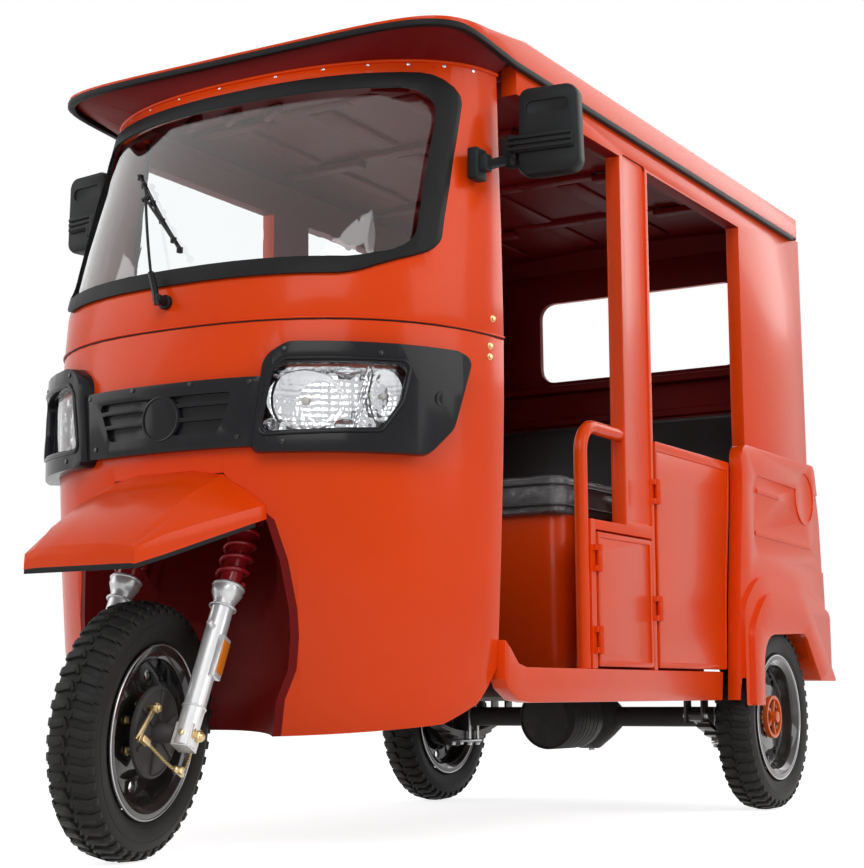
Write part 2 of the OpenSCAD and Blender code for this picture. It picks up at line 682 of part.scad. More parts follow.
// Black strip with a sunk field, two bars each side and a plain disc
module grille_strip() {
  low = lamp_z - 28 - grille_h / 2;
  high = lamp_z - 28 + grille_h / 2;
  field = [[-150, low + 34, 14], [150, low + 34, 14], [186, high - 30, 10], [-186, high - 30, 10]];
  color(black) difference() {
    intersection() {
      cab_panel(low - 5, high + 5, seat_gap, 20, 9, cab_steps - 9);
      along_y(-1300, -900) polygon([[-grille_half, low], [grille_half, low],
        [grille_half + 14, high], [-grille_half - 14, high]]);
    }
    both_sides() lamp_cut(bezel_outline(seat_gap));
    difference() {
      intersection() {
        cab_panel(low - 5, high + 5, 8, 40, 9, cab_steps - 9);
        along_y(-1300, -900) outline(field);
      }
      along_y(-1300, -900) {
        for (z = [low + 62, low + 94]) translate([-230, z]) square([460, 9]);
        translate([0, (low + high) / 2 - 2]) circle(r = 52);
      }
    }
  }
}

// Mudguard over the front wheel. Columns: place along y, half width, lower edge, skirt's top,
// height of the raised band, half width of the band
GUARD = [[-1382, 149, 600, 632, 650, 126], [-1310, 172, 624, 664, 712, 142],
  [-1210, 203, 660, 697, 774, 146], [-1100, 237, 699, 731, 828, 150],
  [-1020, 262, 727, 757, 862, 152]];
guard_wall = 6;
band_step = 10;
// Half of a section, from the skirt's lower edge up to the middle of the band
function guard_half(g, t) =
  let (w = g[1] - t, base = [g[5] + band_step - t / 2, max(g[4] - 32, g[3] + 3) - t])
  [[w, g[2]], [w - 2, g[3] - t],
   [mix(w - 2, base[0], 0.45), mix(g[3] - t, base[1], 0.45) + (g[4] - g[3]) * 0.1], base,
   [g[5] - t / 2, max(g[4] - 20, g[3] + 7) - t], [g[5] * 0.5, g[4] - 4 - t]];
function guard_ring(g, t) = let (half = guard_half(g, t), n = len(half))
  [for (i = [0:2 * n - 1])
    let (p = half[i < n ? i : 2 * n - 1 - i]) [i < n ? p[0] : -p[0], g[0], p[1]]];
module guard_loft(t, shift) {
  rows = len(GUARD);
  points = [for (g = GUARD) each [for (p = guard_ring(g, t))
    [p[0], p[1] + (g[0] == GUARD[0][0] ? shift : 0), p[2]]]];
  m = len(points) / rows;
  at = function (k, i) k * m + i % m;
  walls = [for (k = [0:rows - 2], i = [0:m - 1])
    [at(k, i), at(k, i + 1), at(k + 1, i + 1), at(k + 1, i)]];
  polyhedron(points, concat(split_quads(walls),
    [[for (i = [m - 1:-1:0]) at(0, i)], [for (i = [0:m - 1]) at(rows - 1, i)]]));
}
module front_mudguard() {
  color(orange) difference() {
    guard_loft(0, 0);
    translate([0, 0, -1]) guard_loft(guard_wall, guard_wall);
    cab_body(500, 1000, seat_gap);
  }
}

// A point above the windscreen's surface
function on_screen(x, z, lift) = [x, cab_front(x, z) - lift, z];
module wiper() {
  foot = on_screen(-20, 1200, 1.6);
  knee = foot + [0, -30, 0];
  elbow = on_screen(-76, 1470, 22);
  color(rubber) {
    rod(foot, knee + [0, -6, 0], 11);
    rod(knee, elbow, 5);
    rod(on_screen(-98, 1560, 14), on_screen(-4, 1320, 14), 5);
  }
}

// Mirrors on the cab's front pillars
mirror_z = 1528;
mirror_head = [688, -585, mirror_z + 92];
module mirrors() {
  foot_x = cab_ring(mirror_z, 0)[1][0];
  post = [foot_x + 62, -660, mirror_z];
  color(black) both_sides() {
    difference() {
      box([foot_x - 24, -730, mirror_z - 36], [foot_x + 16, -680, mirror_z + 40]);
      cab_body(mirror_z - 120, mirror_z + 120, 4 * seat_gap);
    }
    rod([foot_x + 8, -700, mirror_z], post, 10);
    rod(post + [0, 0, -12], post + [0, 0, 50], 14);
    box(post + [-18, -16, 44], post + [80, 60, 84]);
    translate(mirror_head) rotate([0, 0, 8]) along_y(-26, 26)
      outline([[-76, -104, 22], [76, -104, 22], [72, 104, 22], [-72, 104, 22]]);
  }
}

// Roof outline in plan: the visor's front runs round on the same kind of curve as the cab
roof_half = body_half + 12;
wall_y = rear_y - 20;
wall_top_y = rear_y - 32;
roof_low = gutter_z + 2;
trim_h = 14;
// Rise of the visor's edge over the gutter, from y = -560 forward
visor_lift = 20;
visor_from = -560;
function visor_edge(y) = visor_lift * min(1, max(0, (visor_from - y) / 240));
function visor_ring(inset) =
  [for (i = [0:cab_steps])
    let (a = 180 * i / cab_steps, reach = cab_y0 - visor_y - inset)
    [(roof_half - inset) * sign(cos(a)) * pow(abs(cos(a)), 0.32), cab_y0 - reach * pow(sin(a), 0.32)]];
function roof_plan(inset) = concat(visor_ring(inset),
  rounded([[-roof_half + inset, -500, 0], [-roof_half + inset, wall_top_y + 2 - inset, 60],
    [roof_half - inset, wall_top_y + 2 - inset, 60], [roof_half - inset, -500, 0]]));
crown_steps = 16;
function crown(z, rise, half) = [for (i = [0:crown_steps])
  let (x = half * (1 - 2 * i / crown_steps)) [x, z + rise * (1 - pow(abs(x) / half, 2.2))]];
// Side view of the roof between a lower edge and an upper one that runs down to the visor
module roof_side(low, drop) {
  top = roof_low + visor_lift + 6 - drop;
  side_plate(-roof_half - 20, roof_half + 20)
    polygon([[rear_y + 100, low], [visor_from, low], [visor_from - 240, low + visor_lift],
      [visor_y - 100, low + visor_lift], [visor_y - 100, top - 2], [visor_y, top], [-800, top + 4],
      [-700, top + 11], [-572, top + 27], [-450, top + 46], [-250, top + 80],
      [rear_y + 100, top + 80]]);
}
module roof_block(inset, low, rise_z, drop) {
  intersection() {
    translate([0, 0, low - 200]) linear_extrude(600) polygon(roof_plan(inset));
    along_y(visor_y - 100, rear_y + 100)
      polygon(concat([[-700, low], [700, low]], crown(rise_z, roof_crown, 700)));
    roof_side(low, drop);
  }
}
module roof_panel() {
  color(orange) difference() {
    roof_block(0, roof_low, gutter_z + roof_edge_h, 0);
    roof_block(22, roof_low - 60, gutter_z + roof_edge_h - roof_skin, roof_skin);
  }
}
module gutter_trim() {
  trim_low = roof_low - trim_h - seat_gap;
  color(rubber) intersection() {
    difference() {
      translate([0, 0, trim_low - 5]) linear_extrude(60) polygon(roof_plan(-3));
      translate([0, 0, trim_low - 10]) linear_extrude(70)
        polygon(roof_plan(roof_half - body_half - seat_gap));
    }
    side_plate(-roof_half - 20, roof_half + 20)
      polygon([[rear_y - 112, trim_low], [visor_from, trim_low],
        [visor_from - 240, trim_low + visor_lift], [visor_y - 100, trim_low + visor_lift],
        [visor_y - 100, trim_low + visor_lift + trim_h],
        [visor_from - 240, trim_low + visor_lift + trim_h], [visor_from, trim_low + trim_h],
        [rear_y - 112, trim_low + trim_h]]);
  }
}

// Side frame: pillar, header, waist rail and rear side panel as one pressing
header_low = gutter_z - 70;
header_top = roof_low - seat_gap;
waist_z = 766;
waist_low = 742;
rear_panel_y = 894;
quarter_top = 1060;
door_top = 1005;
front_door_y0 = -150;
rear_door_y0 = pillar_y + pillar_w + 2;
module side_frames() {
  color(orange) both_sides() hinge_posts(rear_door_y0 + door_gap / 2, rear_hinge_zs);
  color(orange) both_sides() difference() {
    side_plate(body_half - side_t, body_half) union() {
      polygon([[pillar_y, waist_low], [pillar_y + pillar_w, waist_low],
        [pillar_y + pillar_w, header_low], [rear_panel_y, header_low],
        [rear_panel_y, quarter_top - 20], [wall_y, quarter_top - 20],
        [wall_top_y, header_top], [-540, header_top], [-540, header_low], [pillar_y, header_low]]);
      polygon([[front_door_y0, waist_low], [pillar_y + 1, waist_low], [pillar_y + 1, waist_z],
        [front_door_y0, waist_z]]);
      polygon([[pillar_y + pillar_w - 22, sill_top + seat_gap], [pillar_y + pillar_w, sill_top + seat_gap],
        [pillar_y + pillar_w, waist_z], [pillar_y + pillar_w - 22, waist_z]]);
    }
    side_plate(body_half - 5, body_half + 1)
      outline([[pillar_y + 16, waist_z + 8, 12], [pillar_y + pillar_w - 16, waist_z + 8, 12],
        [pillar_y + pillar_w - 16, header_low + 10, 12], [pillar_y + 16, header_low + 10, 12]]);
  }
}
hoop_y = -190;
hoop_top = 1000;
hoop_bend = 70;
module grab_hoops() {
  x = body_half - hoop_r - 2;
  color(orange) both_sides() {
    hinge_posts(front_door_y0 + door_gap / 2, front_hinge_zs);
    union() {
      rod([x, hoop_y, sill_top + seat_gap], [x, hoop_y, hoop_top - hoop_bend + 0.5], hoop_r);
      translate([x, hoop_y + hoop_bend, hoop_top - hoop_bend]) rotate([90, 0, 90]) rotate([0, 0, 90])
        rotate_extrude(angle = 90) translate([hoop_bend, 0]) circle(r = hoop_r - 0.1);
      rod([x, hoop_y + hoop_bend - 0.5, hoop_top], [x, pillar_y - seat_gap, hoop_top], hoop_r);
      box([body_half - 20, hoop_y + hoop_r - 4, sill_top + seat_gap],
        [body_half, front_door_y0 - seat_gap, waist_z]);
    }
  }
}
module side_sills() {
  kick = [[-500, sill_bottom], [-560, 326], [-612, 352], [-625 + seat_gap, 372],
    [-625 + seat_gap, sill_top + 60], [-600, sill_top + 44], [-560, sill_top + 8], [-520, sill_top]];
  color(orange) both_sides() side_plate(body_half - side_t, body_half)
    polygon(concat(kick, [[rear_axle_y - 335, sill_top], [rear_axle_y - 345, sill_bottom]]));
}
module floor_pan() {
  ring = cab_ring(floor_bottom, -cab_wall - 2 * seat_gap);
  half = body_half - side_t - seat_gap;
  color(maroon) difference() {
    translate([0, 0, floor_bottom + seat_gap]) linear_extrude(sill_top - floor_bottom)
      polygon(concat([for (p = ring) [p[0], p[1]]], [[-half, CAB[0][4] + seat_gap],
        [-half, rear_axle_y - 345], [-490, rear_axle_y - 300], [-490, rail_rear], [490, rail_rear],
        [490, rear_axle_y - 300], [half, rear_axle_y - 345], [half, CAB[0][4] + seat_gap]]));
    well_space(well_wall + seat_gap);
    both_sides() box([strut_foot[0] - 25, strut_foot[1] - 25, floor_bottom - 1],
      [strut_foot[0] + 18, strut_foot[1] + 19, sill_top + 1]);
  }
}
// Strip with round sides that follows the cab's rear edge
seal_r = 8;
module door_seals() {
  low = sill_top + 64;
  rows = concat([cab_row(low)], [for (row = CAB) if (row[0] > low + 4) row]);
  m = 8;
  points = [for (row = rows, i = [0:m - 1])
    [row[1] - 24 + seal_r * cos(45 * i), row[4] + seal_r + seat_gap + 1 + seal_r * sin(45 * i), row[0]]];
  at = function (k, i) k * m + i % m;
  walls = [for (k = [0:len(rows) - 2], i = [0:m - 1])
    [at(k, i), at(k + 1, i), at(k + 1, i + 1), at(k, i + 1)]];
  color(rubber) both_sides() polyhedron(points, concat(split_quads(walls),
    [[for (i = [0:m - 1]) at(0, i)], [for (i = [m - 1:-1:0]) at(len(rows) - 1, i)]]));
}

// Rear wheel panels: a skin over each rear wheel that steps out twice towards its arch
quarter_t = 8;
step_out = 14;
arch_low = 377;
quarter_front = 700;
// Lower edge of every layer: the arch and the tail, from back to front
function arch_corners(grow) = [[rear_y + 2 - grow, arch_low + grow, 6],
  [rear_axle_y + 318 + grow * 0.5, arch_low + grow, 24], [rear_axle_y + 184, 520 + grow, 60],
  [rear_axle_y - 176 - grow, 506 + grow, 90]];
function skin_corners(grow) = concat(arch_corners(grow),
  [[rear_axle_y - 180 - grow, 305 + grow, 8], [quarter_front + grow, 305 + grow, 8],
   [quarter_front + 22 + grow, 600, 500], [quarter_front + 66 + grow, 940, 300],
   [quarter_front + 62 + grow, quarter_top - grow, 44], [rear_y - 66 - grow, quarter_top - grow, 30],
   [rear_y - 22 - grow, 880, 300], [rear_y - 4 - grow, 640, 200]]);
function flare_corners(grow) = concat(arch_corners(grow),
  [[rear_axle_y - 180 - grow, 305 + grow, 8], [quarter_front + 18 + grow, 305 + grow, 8],
   [quarter_front + 18 + grow, 590 - grow, 90], [quarter_front + 150, 686 - grow, 200],
   [rear_axle_y + 180, 676 - grow, 200], [rear_y + 1 - grow, 590, 30]]);
function lip_corners(grow) = concat(arch_corners(grow),
  [[rear_axle_y - 180 - grow, 305 + grow, 8], [quarter_front + 52 + grow, 305 + grow, 8],
   [quarter_front + 54 + grow, 530 - grow, 90], [quarter_front + 170, 634 - grow, 140],
   [rear_axle_y + 210, 624 - grow, 160], [rear_y - 40 - grow, 420, 40]]);
module rear_quarters() {
  inner = body_half + seat_gap;
  skin_x = quarter_half - 2 * step_out;
  lip_x = quarter_half - step_out;
  color(orange) both_sides() {
    difference() {
      union() {
        side_plate(inner, skin_x) outline(skin_corners(0));
        side_plate(inner + 4, lip_x) outline(flare_corners(0));
        side_plate(inner + 8, quarter_half) outline(lip_corners(0));
      }
      side_plate(inner - 1, skin_x - quarter_t) outline(skin_corners(quarter_t));
      side_plate(inner - 1, lip_x - quarter_t) outline(flare_corners(quarter_t));
      side_plate(inner - 1, quarter_half - quarter_t) outline(lip_corners(quarter_t));
      translate([inner - 1, rear_axle_y, hub_z]) rotate([0, 90, 0])
        cylinder(h = wheel_x + tyre_w / 2 + 7 - inner, r = tyre_r + 40, $fn = 96);
      difference() {
        side_plate(skin_x - 4, skin_x + 1)
          outline([[850, 742, 46], [1500, 720, 5], [1500, 965, 5], [850, 978, 46]]);
        side_plate(skin_x - 5, skin_x + 2) {
          outline([[884, 926, 4], [1076, 922, 4], [1076, 936, 4], [884, 940, 4]]);
          outline([[862, 800, 4], [1360, 788, 4], [1360, 802, 4], [862, 814, 4]]);
          translate([1310, 948]) circle(r = 86);
        }
      }
      translate([skin_x - 4, 1310, 948]) rotate([0, 90, 0]) cylinder(h = 9, r = 78);
    }
  }
}
// Rear wall with its open window, leaning a little, over the tail
window_half = 371;
window_low = 1424;
window_high = 1705;
module rear_wall() {
  wall = 25;
  color(orange) difference() {
    side_plate(-body_half + side_t + seat_gap, body_half - side_t - seat_gap)
      polygon([[wall_y, 420], [wall_y, quarter_top], [wall_top_y, header_top],
        [wall_top_y - wall, header_top], [wall_y - wall, quarter_top], [wall_y - wall, 420]]);
    along_y(rear_y - 200, rear_y + 100) outline([[-window_half, window_low, 50],
      [window_half, window_low, 50], [window_half, window_high, 50], [-window_half, window_high, 50]]);
  }
}
module tail_lamps() {
  color([0.7, 0.05, 0.04]) both_sides()
    along_y(wall_y + seat_gap, rear_y + 2)
      outline([[400, 760, 14], [510, 760, 14], [510, 1000, 14], [400, 1000, 14]]);
}
// Bumper tube with a drilled towing plate
tow_hole_r = 11;
tow_plate_t = 10;
bumper_y = 1446;
module rear_bumper() {
  z = 355;
  color(black) difference() {
    union() {
      rod([-430, bumper_y, z], [430, bumper_y, z], 18);
      both_sides() box([rail_x - 22, rail_rear + seat_gap, z - 14], [rail_x - 4, bumper_y, z + 14]);
      box([-45, rail_rear + seat_gap, z - tow_plate_t / 2], [45, bumper_y + 18, z + tow_plate_t / 2]);
    }
    translate([0, bumper_y - 31, z - tow_plate_t]) cylinder(h = 2 * tow_plate_t, r = tow_hole_r);
  }
}

// Seats
module driver_seat_base() {
  t = 20;
  rear = seat_y + 350;
  color(orange) difference() {
    translate([0, 0, sill_top + seat_gap * 2]) linear_extrude(seat_base_z - sill_top)
      outline([[-seat_half, seat_y, 60], [seat_half, seat_y, 60], [seat_half, rear, 10],
        [-seat_half, rear, 10]]);
    box([-seat_half + t, seat_y + t, sill_top - 1], [seat_half - t, rear - t, seat_base_z - t]);
    box([-seat_half - 1, seat_y + 80, sill_top + 30], [seat_half + 1, rear - 40, seat_base_z - 60]);
  }
}
module driver_seat_cushion() {
  z = seat_base_z + 3 * seat_gap;
  color(black) translate([0, 0, z]) linear_extrude(95)
    outline([[-seat_half - 14, seat_y - 30, 50], [seat_half + 14, seat_y - 30, 50],
      [seat_half + 14, seat_y + 380, 40], [-seat_half - 14, seat_y + 380, 40]]);
}
bench_y = 620;
bench_rear = wall_y - 25;
bench_half = body_half - side_t - 8;
module passenger_seat_base() {
  t = 20;
  color(orange) {
    box([-bench_half, bench_y, sill_top + 2 * seat_gap], [bench_half, bench_y + 30, bench_z]);
    box([-bench_half, bench_y + 30 - eps, bench_z - t], [bench_half, bench_rear - seat_gap, bench_z]);
  }
}
module passenger_seat_cushion() {
  color(black) translate([0, 0, bench_z + seat_gap]) linear_extrude(110)
    outline([[-bench_half + 2, bench_y - 20, 40], [bench_half - 2, bench_y - 20, 40],
      [bench_half - 2, bench_y + 470, 30], [-bench_half + 2, bench_y + 470, 30]]);
}
module passenger_seat_back() {
  y0 = bench_y + 474;
  color(black) side_plate(-bench_half + 2, bench_half - 2)
    outline([[y0, bench_z + 2 * seat_gap, 20], [y0 + 120, bench_z + 2 * seat_gap, 20],
      [bench_rear - seat_gap, 1250, 20], [bench_rear - 110, 1250, 40]]);
}
module battery_pack() {
  color([0.15, 0.16, 0.18])
    box([-380, bench_y + 60, sill_top + 2 * seat_gap], [380, bench_y + 330, sill_top + 240]);
}

// Doors, hinged at their front edges; drawn for the left side and mirrored for the right
hinge_x = body_half + pin_r + 4;
front_hinge_zs = [470, 670];
rear_hinge_zs = [560, 868];
knuckle_half = 18;
knuckle_r = pin_r + 3;
// Fixed knuckles above and below a door's own, with the pin through them and a leaf to the post
module hinge_posts(hinge_y, hinge_zs) {
  for (z = hinge_zs) {
    translate([hinge_x, hinge_y, z - knuckle_half - 16]) cylinder(h = 2 * knuckle_half + 32, r = pin_r);
    for (s = [-1, 1]) translate([0, 0, z + s * (knuckle_half + seat_gap + 7)]) {
      translate([hinge_x, hinge_y, -7]) cylinder(h = 14, r = knuckle_r);
      box([body_half - eps, hinge_y - 20, -7], [hinge_x, hinge_y, 7]);
    }
  }
}
function front_door_corners() = [[front_door_y0 + door_gap, sill_top + door_gap, 6],
  [pillar_y + pillar_w - 22 - door_gap, sill_top + door_gap, 6],
  [pillar_y + pillar_w - 22 - door_gap, waist_low - door_gap, 6],
  [front_door_y0 + door_gap, waist_low - door_gap, 6]];
function rear_door_corners() = [[rear_door_y0 + door_gap, sill_top + door_gap, 6],
  [quarter_front - door_gap + 2, sill_top + door_gap, 6], [quarter_front + 16 - door_gap, 600, 500],
  [quarter_front + 60 - door_gap, door_top - 60, 200],
  [quarter_front + 60 - door_gap, door_top, 10], [rear_door_y0 + door_gap, door_top, 10]];
module door(corners, hinge_y, hinge_zs) {
  difference() {
    union() {
      side_plate(body_half - door_t, body_half) outline(corners);
      for (z = hinge_zs) {
        translate([hinge_x, hinge_y, z - knuckle_half]) cylinder(h = 2 * knuckle_half, r = knuckle_r);
        box([body_half - eps, hinge_y, z - knuckle_half], [hinge_x, hinge_y + 24, z + knuckle_half]);
      }
    }
    for (z = hinge_zs) translate([hinge_x, hinge_y, z - 40]) cylinder(h = 80, r = pin_r + 0.05);
  }
}
module door_front() {
  color(orange) door(front_door_corners(), front_door_y0 + door_gap / 2, front_hinge_zs);
}
module door_rear() {
  color(orange) door(rear_door_corners(), rear_door_y0 + door_gap / 2, rear_hinge_zs);
}
module door_front_left() { door_front(); }
module door_front_right() { mirror([1, 0, 0]) door_front(); }
module door_rear_left() { door_rear(); }
module door_rear_right() { mirror([1, 0, 0]) door_rear(); }

chassis_frame();
floor_pan();
side_sills();
cab_nose();
wheel_well();
cab_surround();
windscreen_glass();
windscreen_seal();
dash_panel();
grille_strip();
lamp_bezels();
lamp_reflectors();
lamp_lenses();
front_mudguard();
wiper();
mirrors();
roof_panel();
gutter_trim();
side_frames();
grab_hoops();
door_seals();
rear_quarters();
rear_wall();
tail_lamps();
rear_bumper();
driver_seat_base();
driver_seat_cushion();
passenger_seat_base();
passenger_seat_cushion();
passenger_seat_back();
battery_pack();
rear_axle();
leaf_springs();
door_front_left();
door_front_right();
door_rear_left();
door_rear_right();
fork_legs();
fork_springs();
fork_yokes();
handlebar();
front_brake();
front_tyre();
front_rim();
rear_tyre_left();
rear_rim_left();
rear_cap_left();
rear_tyre_right();
rear_rim_right();
rear_cap_right();
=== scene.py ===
import bpy
from math import asin, atan2, copysign, cos, pi, radians, sin, tan
from mathutils import Matrix, Vector


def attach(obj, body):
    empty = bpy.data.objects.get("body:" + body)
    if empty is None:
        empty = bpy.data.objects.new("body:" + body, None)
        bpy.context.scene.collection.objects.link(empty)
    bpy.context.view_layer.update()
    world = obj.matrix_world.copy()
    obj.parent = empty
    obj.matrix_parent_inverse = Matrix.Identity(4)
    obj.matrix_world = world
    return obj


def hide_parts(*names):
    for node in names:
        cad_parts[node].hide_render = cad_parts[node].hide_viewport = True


bl_info = {
    "name": "Electric Rickshaw",
    "version": (1, 0, 0),
    "blender": (4, 5, 0),
    "location": "View3D > Sidebar > Rickshaw",
    "description": "Dresses the rickshaw's frame with its paint, trim, seats and small parts",
    "category": "Object",
}

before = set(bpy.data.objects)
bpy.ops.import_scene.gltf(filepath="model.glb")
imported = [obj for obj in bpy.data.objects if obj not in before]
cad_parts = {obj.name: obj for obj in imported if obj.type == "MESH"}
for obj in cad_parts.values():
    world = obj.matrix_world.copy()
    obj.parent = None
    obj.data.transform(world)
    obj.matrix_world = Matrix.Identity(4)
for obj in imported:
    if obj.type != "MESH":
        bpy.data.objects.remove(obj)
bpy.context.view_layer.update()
MM = 0.001


# Selection and modelling helpers

def deselect():
    """Leave edit mode with nothing selected."""
    if bpy.context.mode != "OBJECT":
        bpy.ops.object.mode_set(mode="OBJECT")
    bpy.ops.object.select_all(action="DESELECT")


def pick(piece):
    """Select one piece alone and make it active."""
    deselect()
    piece.hide_set(False)
    piece.select_set(True)
    bpy.context.view_layer.objects.active = piece
    return piece


def named(name):
    """Name the piece that an operator has just added."""
    piece = bpy.context.object
    piece.name = piece.data.name = name
    return piece


def settle(piece):
    """Put a piece's place, turn and scale into its mesh."""
    pick(piece)
    bpy.ops.object.transform_apply(location=True, rotation=True, scale=True)
    return piece


def modify(piece, kind, **settings):
    """Add a modifier with these settings and apply it."""
    pick(piece)
    bpy.ops.object.modifier_add(type=kind)
    modifier = piece.modifiers[-1]
    for key, value in settings.items():
        setattr(modifier, key, value)
    bpy.ops.object.modifier_apply(modifier=modifier.name)
    return piece


def smooth(piece, angle=35):
    """Shade the faces smooth, apart from edges sharper than the angle."""
    pick(piece)
    bpy.ops.object.shade_smooth_by_angle(angle=radians(angle), keep_sharp_edges=False)
    return piece


def face_out(piece):
    """Merge doubles and point every face outwards."""
    pick(piece)
    bpy.ops.object.mode_set(mode="EDIT")
    bpy.ops.mesh.select_all(action="SELECT")
    bpy.ops.mesh.remove_doubles(threshold=0.00002)
    bpy.ops.mesh.normals_make_consistent(inside=False)
    bpy.ops.object.mode_set(mode="OBJECT")
    return piece


def choose(piece, faces=None, edges=None):
    """Enter edit mode with the faces or edges that a test picks by their middle and direction."""
    pick(piece)
    bpy.ops.object.mode_set(mode="EDIT")
    bpy.ops.mesh.select_mode(type="FACE" if faces else "EDGE")
    bpy.ops.mesh.select_all(action="DESELECT")
    bpy.ops.object.mode_set(mode="OBJECT")
    if faces:
        for face in piece.data.polygons:
            face.select = bool(faces(face.center / MM, face.normal))
    else:
        points = piece.data.vertices
        for edge in piece.data.edges:
            a, b = (points[i].co / MM for i in edge.vertices)
            edge.select = bool(edges((a + b) / 2, (b - a).normalized()))
    bpy.ops.object.mode_set(mode="EDIT")


def block(name, low, high, bevel=2, segments=2):
    """A rectangular block between two corners in millimetres, with its edges rounded."""
    deselect()
    middle = (Vector(low) + Vector(high)) / 2 * MM
    bpy.ops.mesh.primitive_cube_add(size=1, location=middle)
    piece = named(name)
    piece.scale = (Vector(high) - Vector(low)) * MM
    settle(piece)
    if bevel:
        modify(piece, "BEVEL", width=bevel * MM, segments=segments)
    return piece


def turned(direction):
    """The turn that takes +Z to a direction."""
    return Vector(direction).to_track_quat("Z", "Y").to_euler()


def disc(name, at, direction, radius, depth, bevel=1, sides=32, top=None):
    """A round boss standing at a point, along a direction, in millimetres."""
    deselect()
    way = Vector(direction).normalized()
    middle = (Vector(at) + way * depth / 2) * MM
    bpy.ops.mesh.primitive_cone_add(vertices=sides, radius1=radius * MM,
                                    radius2=(radius if top is None else top) * MM,
                                    depth=depth * MM, location=middle, rotation=turned(way))
    piece = settle(named(name))
    if bevel:
        modify(piece, "BEVEL", width=bevel * MM, segments=2, limit_method="ANGLE",
               angle_limit=radians(40))
    return piece


def ring(name, at, direction, radius, thickness, sides=48, minor=10):
    """A round ring about a point."""
    deselect()
    bpy.ops.mesh.primitive_torus_add(location=Vector(at) * MM, rotation=turned(direction),
                                     major_radius=radius * MM, minor_radius=thickness * MM,
                                     major_segments=sides, minor_segments=minor)
    return settle(named(name))


def tube(name, points, radius, closed=False, sides=6, curve="SMOOTH", tall=0):
    """A tube through points in millimetres, or a strip that stands up by tall."""
    deselect()
    bpy.ops.curve.primitive_bezier_curve_add()
    piece = named(name)
    data = piece.data
    data.splines.clear()
    spline = data.splines.new("NURBS" if curve == "SMOOTH" else "POLY")
    spline.points.add(len(points) - 1)
    for point, at in zip(spline.points, points):
        point.co = (*(Vector(at) * MM), 1)
    if curve == "SMOOTH":
        spline.order_u = 3
        spline.use_endpoint_u = not closed
        spline.resolution_u = 6
    spline.use_cyclic_u = closed
    data.dimensions = "3D"
    data.bevel_depth = radius * MM
    data.bevel_resolution = max(1, sides // 2 - 1)
    data.use_fill_caps = True
    if tall:
        data.extrude = tall / 2 * MM
        data.twist_mode = "Z_UP"
    pick(piece)
    bpy.ops.object.convert(target="MESH")
    return face_out(settle(bpy.context.object))


def sheet_metal(name, points, plane, level, depth, bevel=0.5):
    """A plate with this outline in a plane: "x", "y" or "z" names the direction it faces."""
    deselect()
    bpy.ops.curve.primitive_bezier_curve_add()
    piece = named(name)
    data = piece.data
    data.splines.clear()
    for outline in (points if isinstance(points[0][0], (tuple, list)) else [points]):
        spline = data.splines.new("POLY")
        spline.points.add(len(outline) - 1)
        for point, (u, v) in zip(spline.points, outline):
            point.co = (u * MM, v * MM, 0, 1)
        spline.use_cyclic_u = True
    data.dimensions = "2D"
    data.fill_mode = "BOTH"
    data.extrude = (depth / 2 - bevel) * MM
    data.bevel_depth = bevel * MM
    data.bevel_resolution = 1
    data.offset = -bevel * MM
    pick(piece)
    bpy.ops.object.convert(target="MESH")
    piece = bpy.context.object
    turn = {"z": Matrix.Identity(3), "y": Matrix(((1, 0, 0), (0, 0, -1), (0, 1, 0))),
            "x": Matrix(((0, 0, 1), (1, 0, 0), (0, 1, 0)))}[plane]
    piece.rotation_euler = turn.to_euler()
    face = {"x": (1, 0, 0), "y": (0, 1, 0), "z": (0, 0, 1)}[plane]
    piece.location = Vector(face) * level * MM
    return face_out(settle(piece))


def rounded(corners, steps=5):
    """Points round an outline whose corners are (u, v, radius)."""
    points = []
    count = len(corners)
    for i, (u, v, r) in enumerate(corners):
        p = Vector((u, v))
        if r <= 0:
            points.append((u, v))
            continue
        a = (Vector(corners[i - 1][:2]) - p).normalized()
        b = (Vector(corners[(i + 1) % count][:2]) - p).normalized()
        half = a.angle(b) / 2
        mid = p + (a + b).normalized() * r / sin(half)
        start, end = p + a * r / tan(half) - mid, p + b * r / tan(half) - mid
        first = atan2(start.y, start.x)
        turn = atan2(end.y, end.x) - first
        turn = (turn + pi) % (2 * pi) - pi
        for k in range(steps + 1):
            t = first + turn * k / steps
            points.append((mid.x + r * cos(t), mid.y + r * sin(t)))
    return points


def join(name, pieces):
    """Make several shapes one piece."""
    deselect()
    for piece in pieces:
        piece.select_set(True)
    bpy.context.view_layer.objects.active = pieces[0]
    if len(pieces) > 1:
        bpy.ops.object.join()
    piece = bpy.context.object
    piece.name = piece.data.name = name
    return piece


def copy_of(piece, name, matrix):
    """A copy with its own mesh, placed by a matrix in metres."""
    other = piece.copy()
    other.data = piece.data.copy()
    bpy.context.scene.collection.objects.link(other)
    other.name = other.data.name = name
    other.data.transform(matrix)
    if matrix.determinant() < 0:
        other.data.flip_normals()
    return other


def mirrored(piece):
    """The piece together with its mirror image on the other side of the vehicle."""
    other = copy_of(piece, piece.name + "_right", Matrix.Scale(-1, 4, (1, 0, 0)))
    return join(piece.name, [piece, other])


def dress(piece, material, body="root", stands_for=(), angle=35):
    """Finish a piece: shading, material, the body it moves with and the nodes it stands for."""
    settle(piece)
    smooth(piece, angle)
    piece.data.materials.clear()
    for one in (material if isinstance(material, (list, tuple)) else [material]):
        piece.data.materials.append(one)
    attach(piece, body)
    if stands_for:
        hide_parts(*stands_for)
    return piece


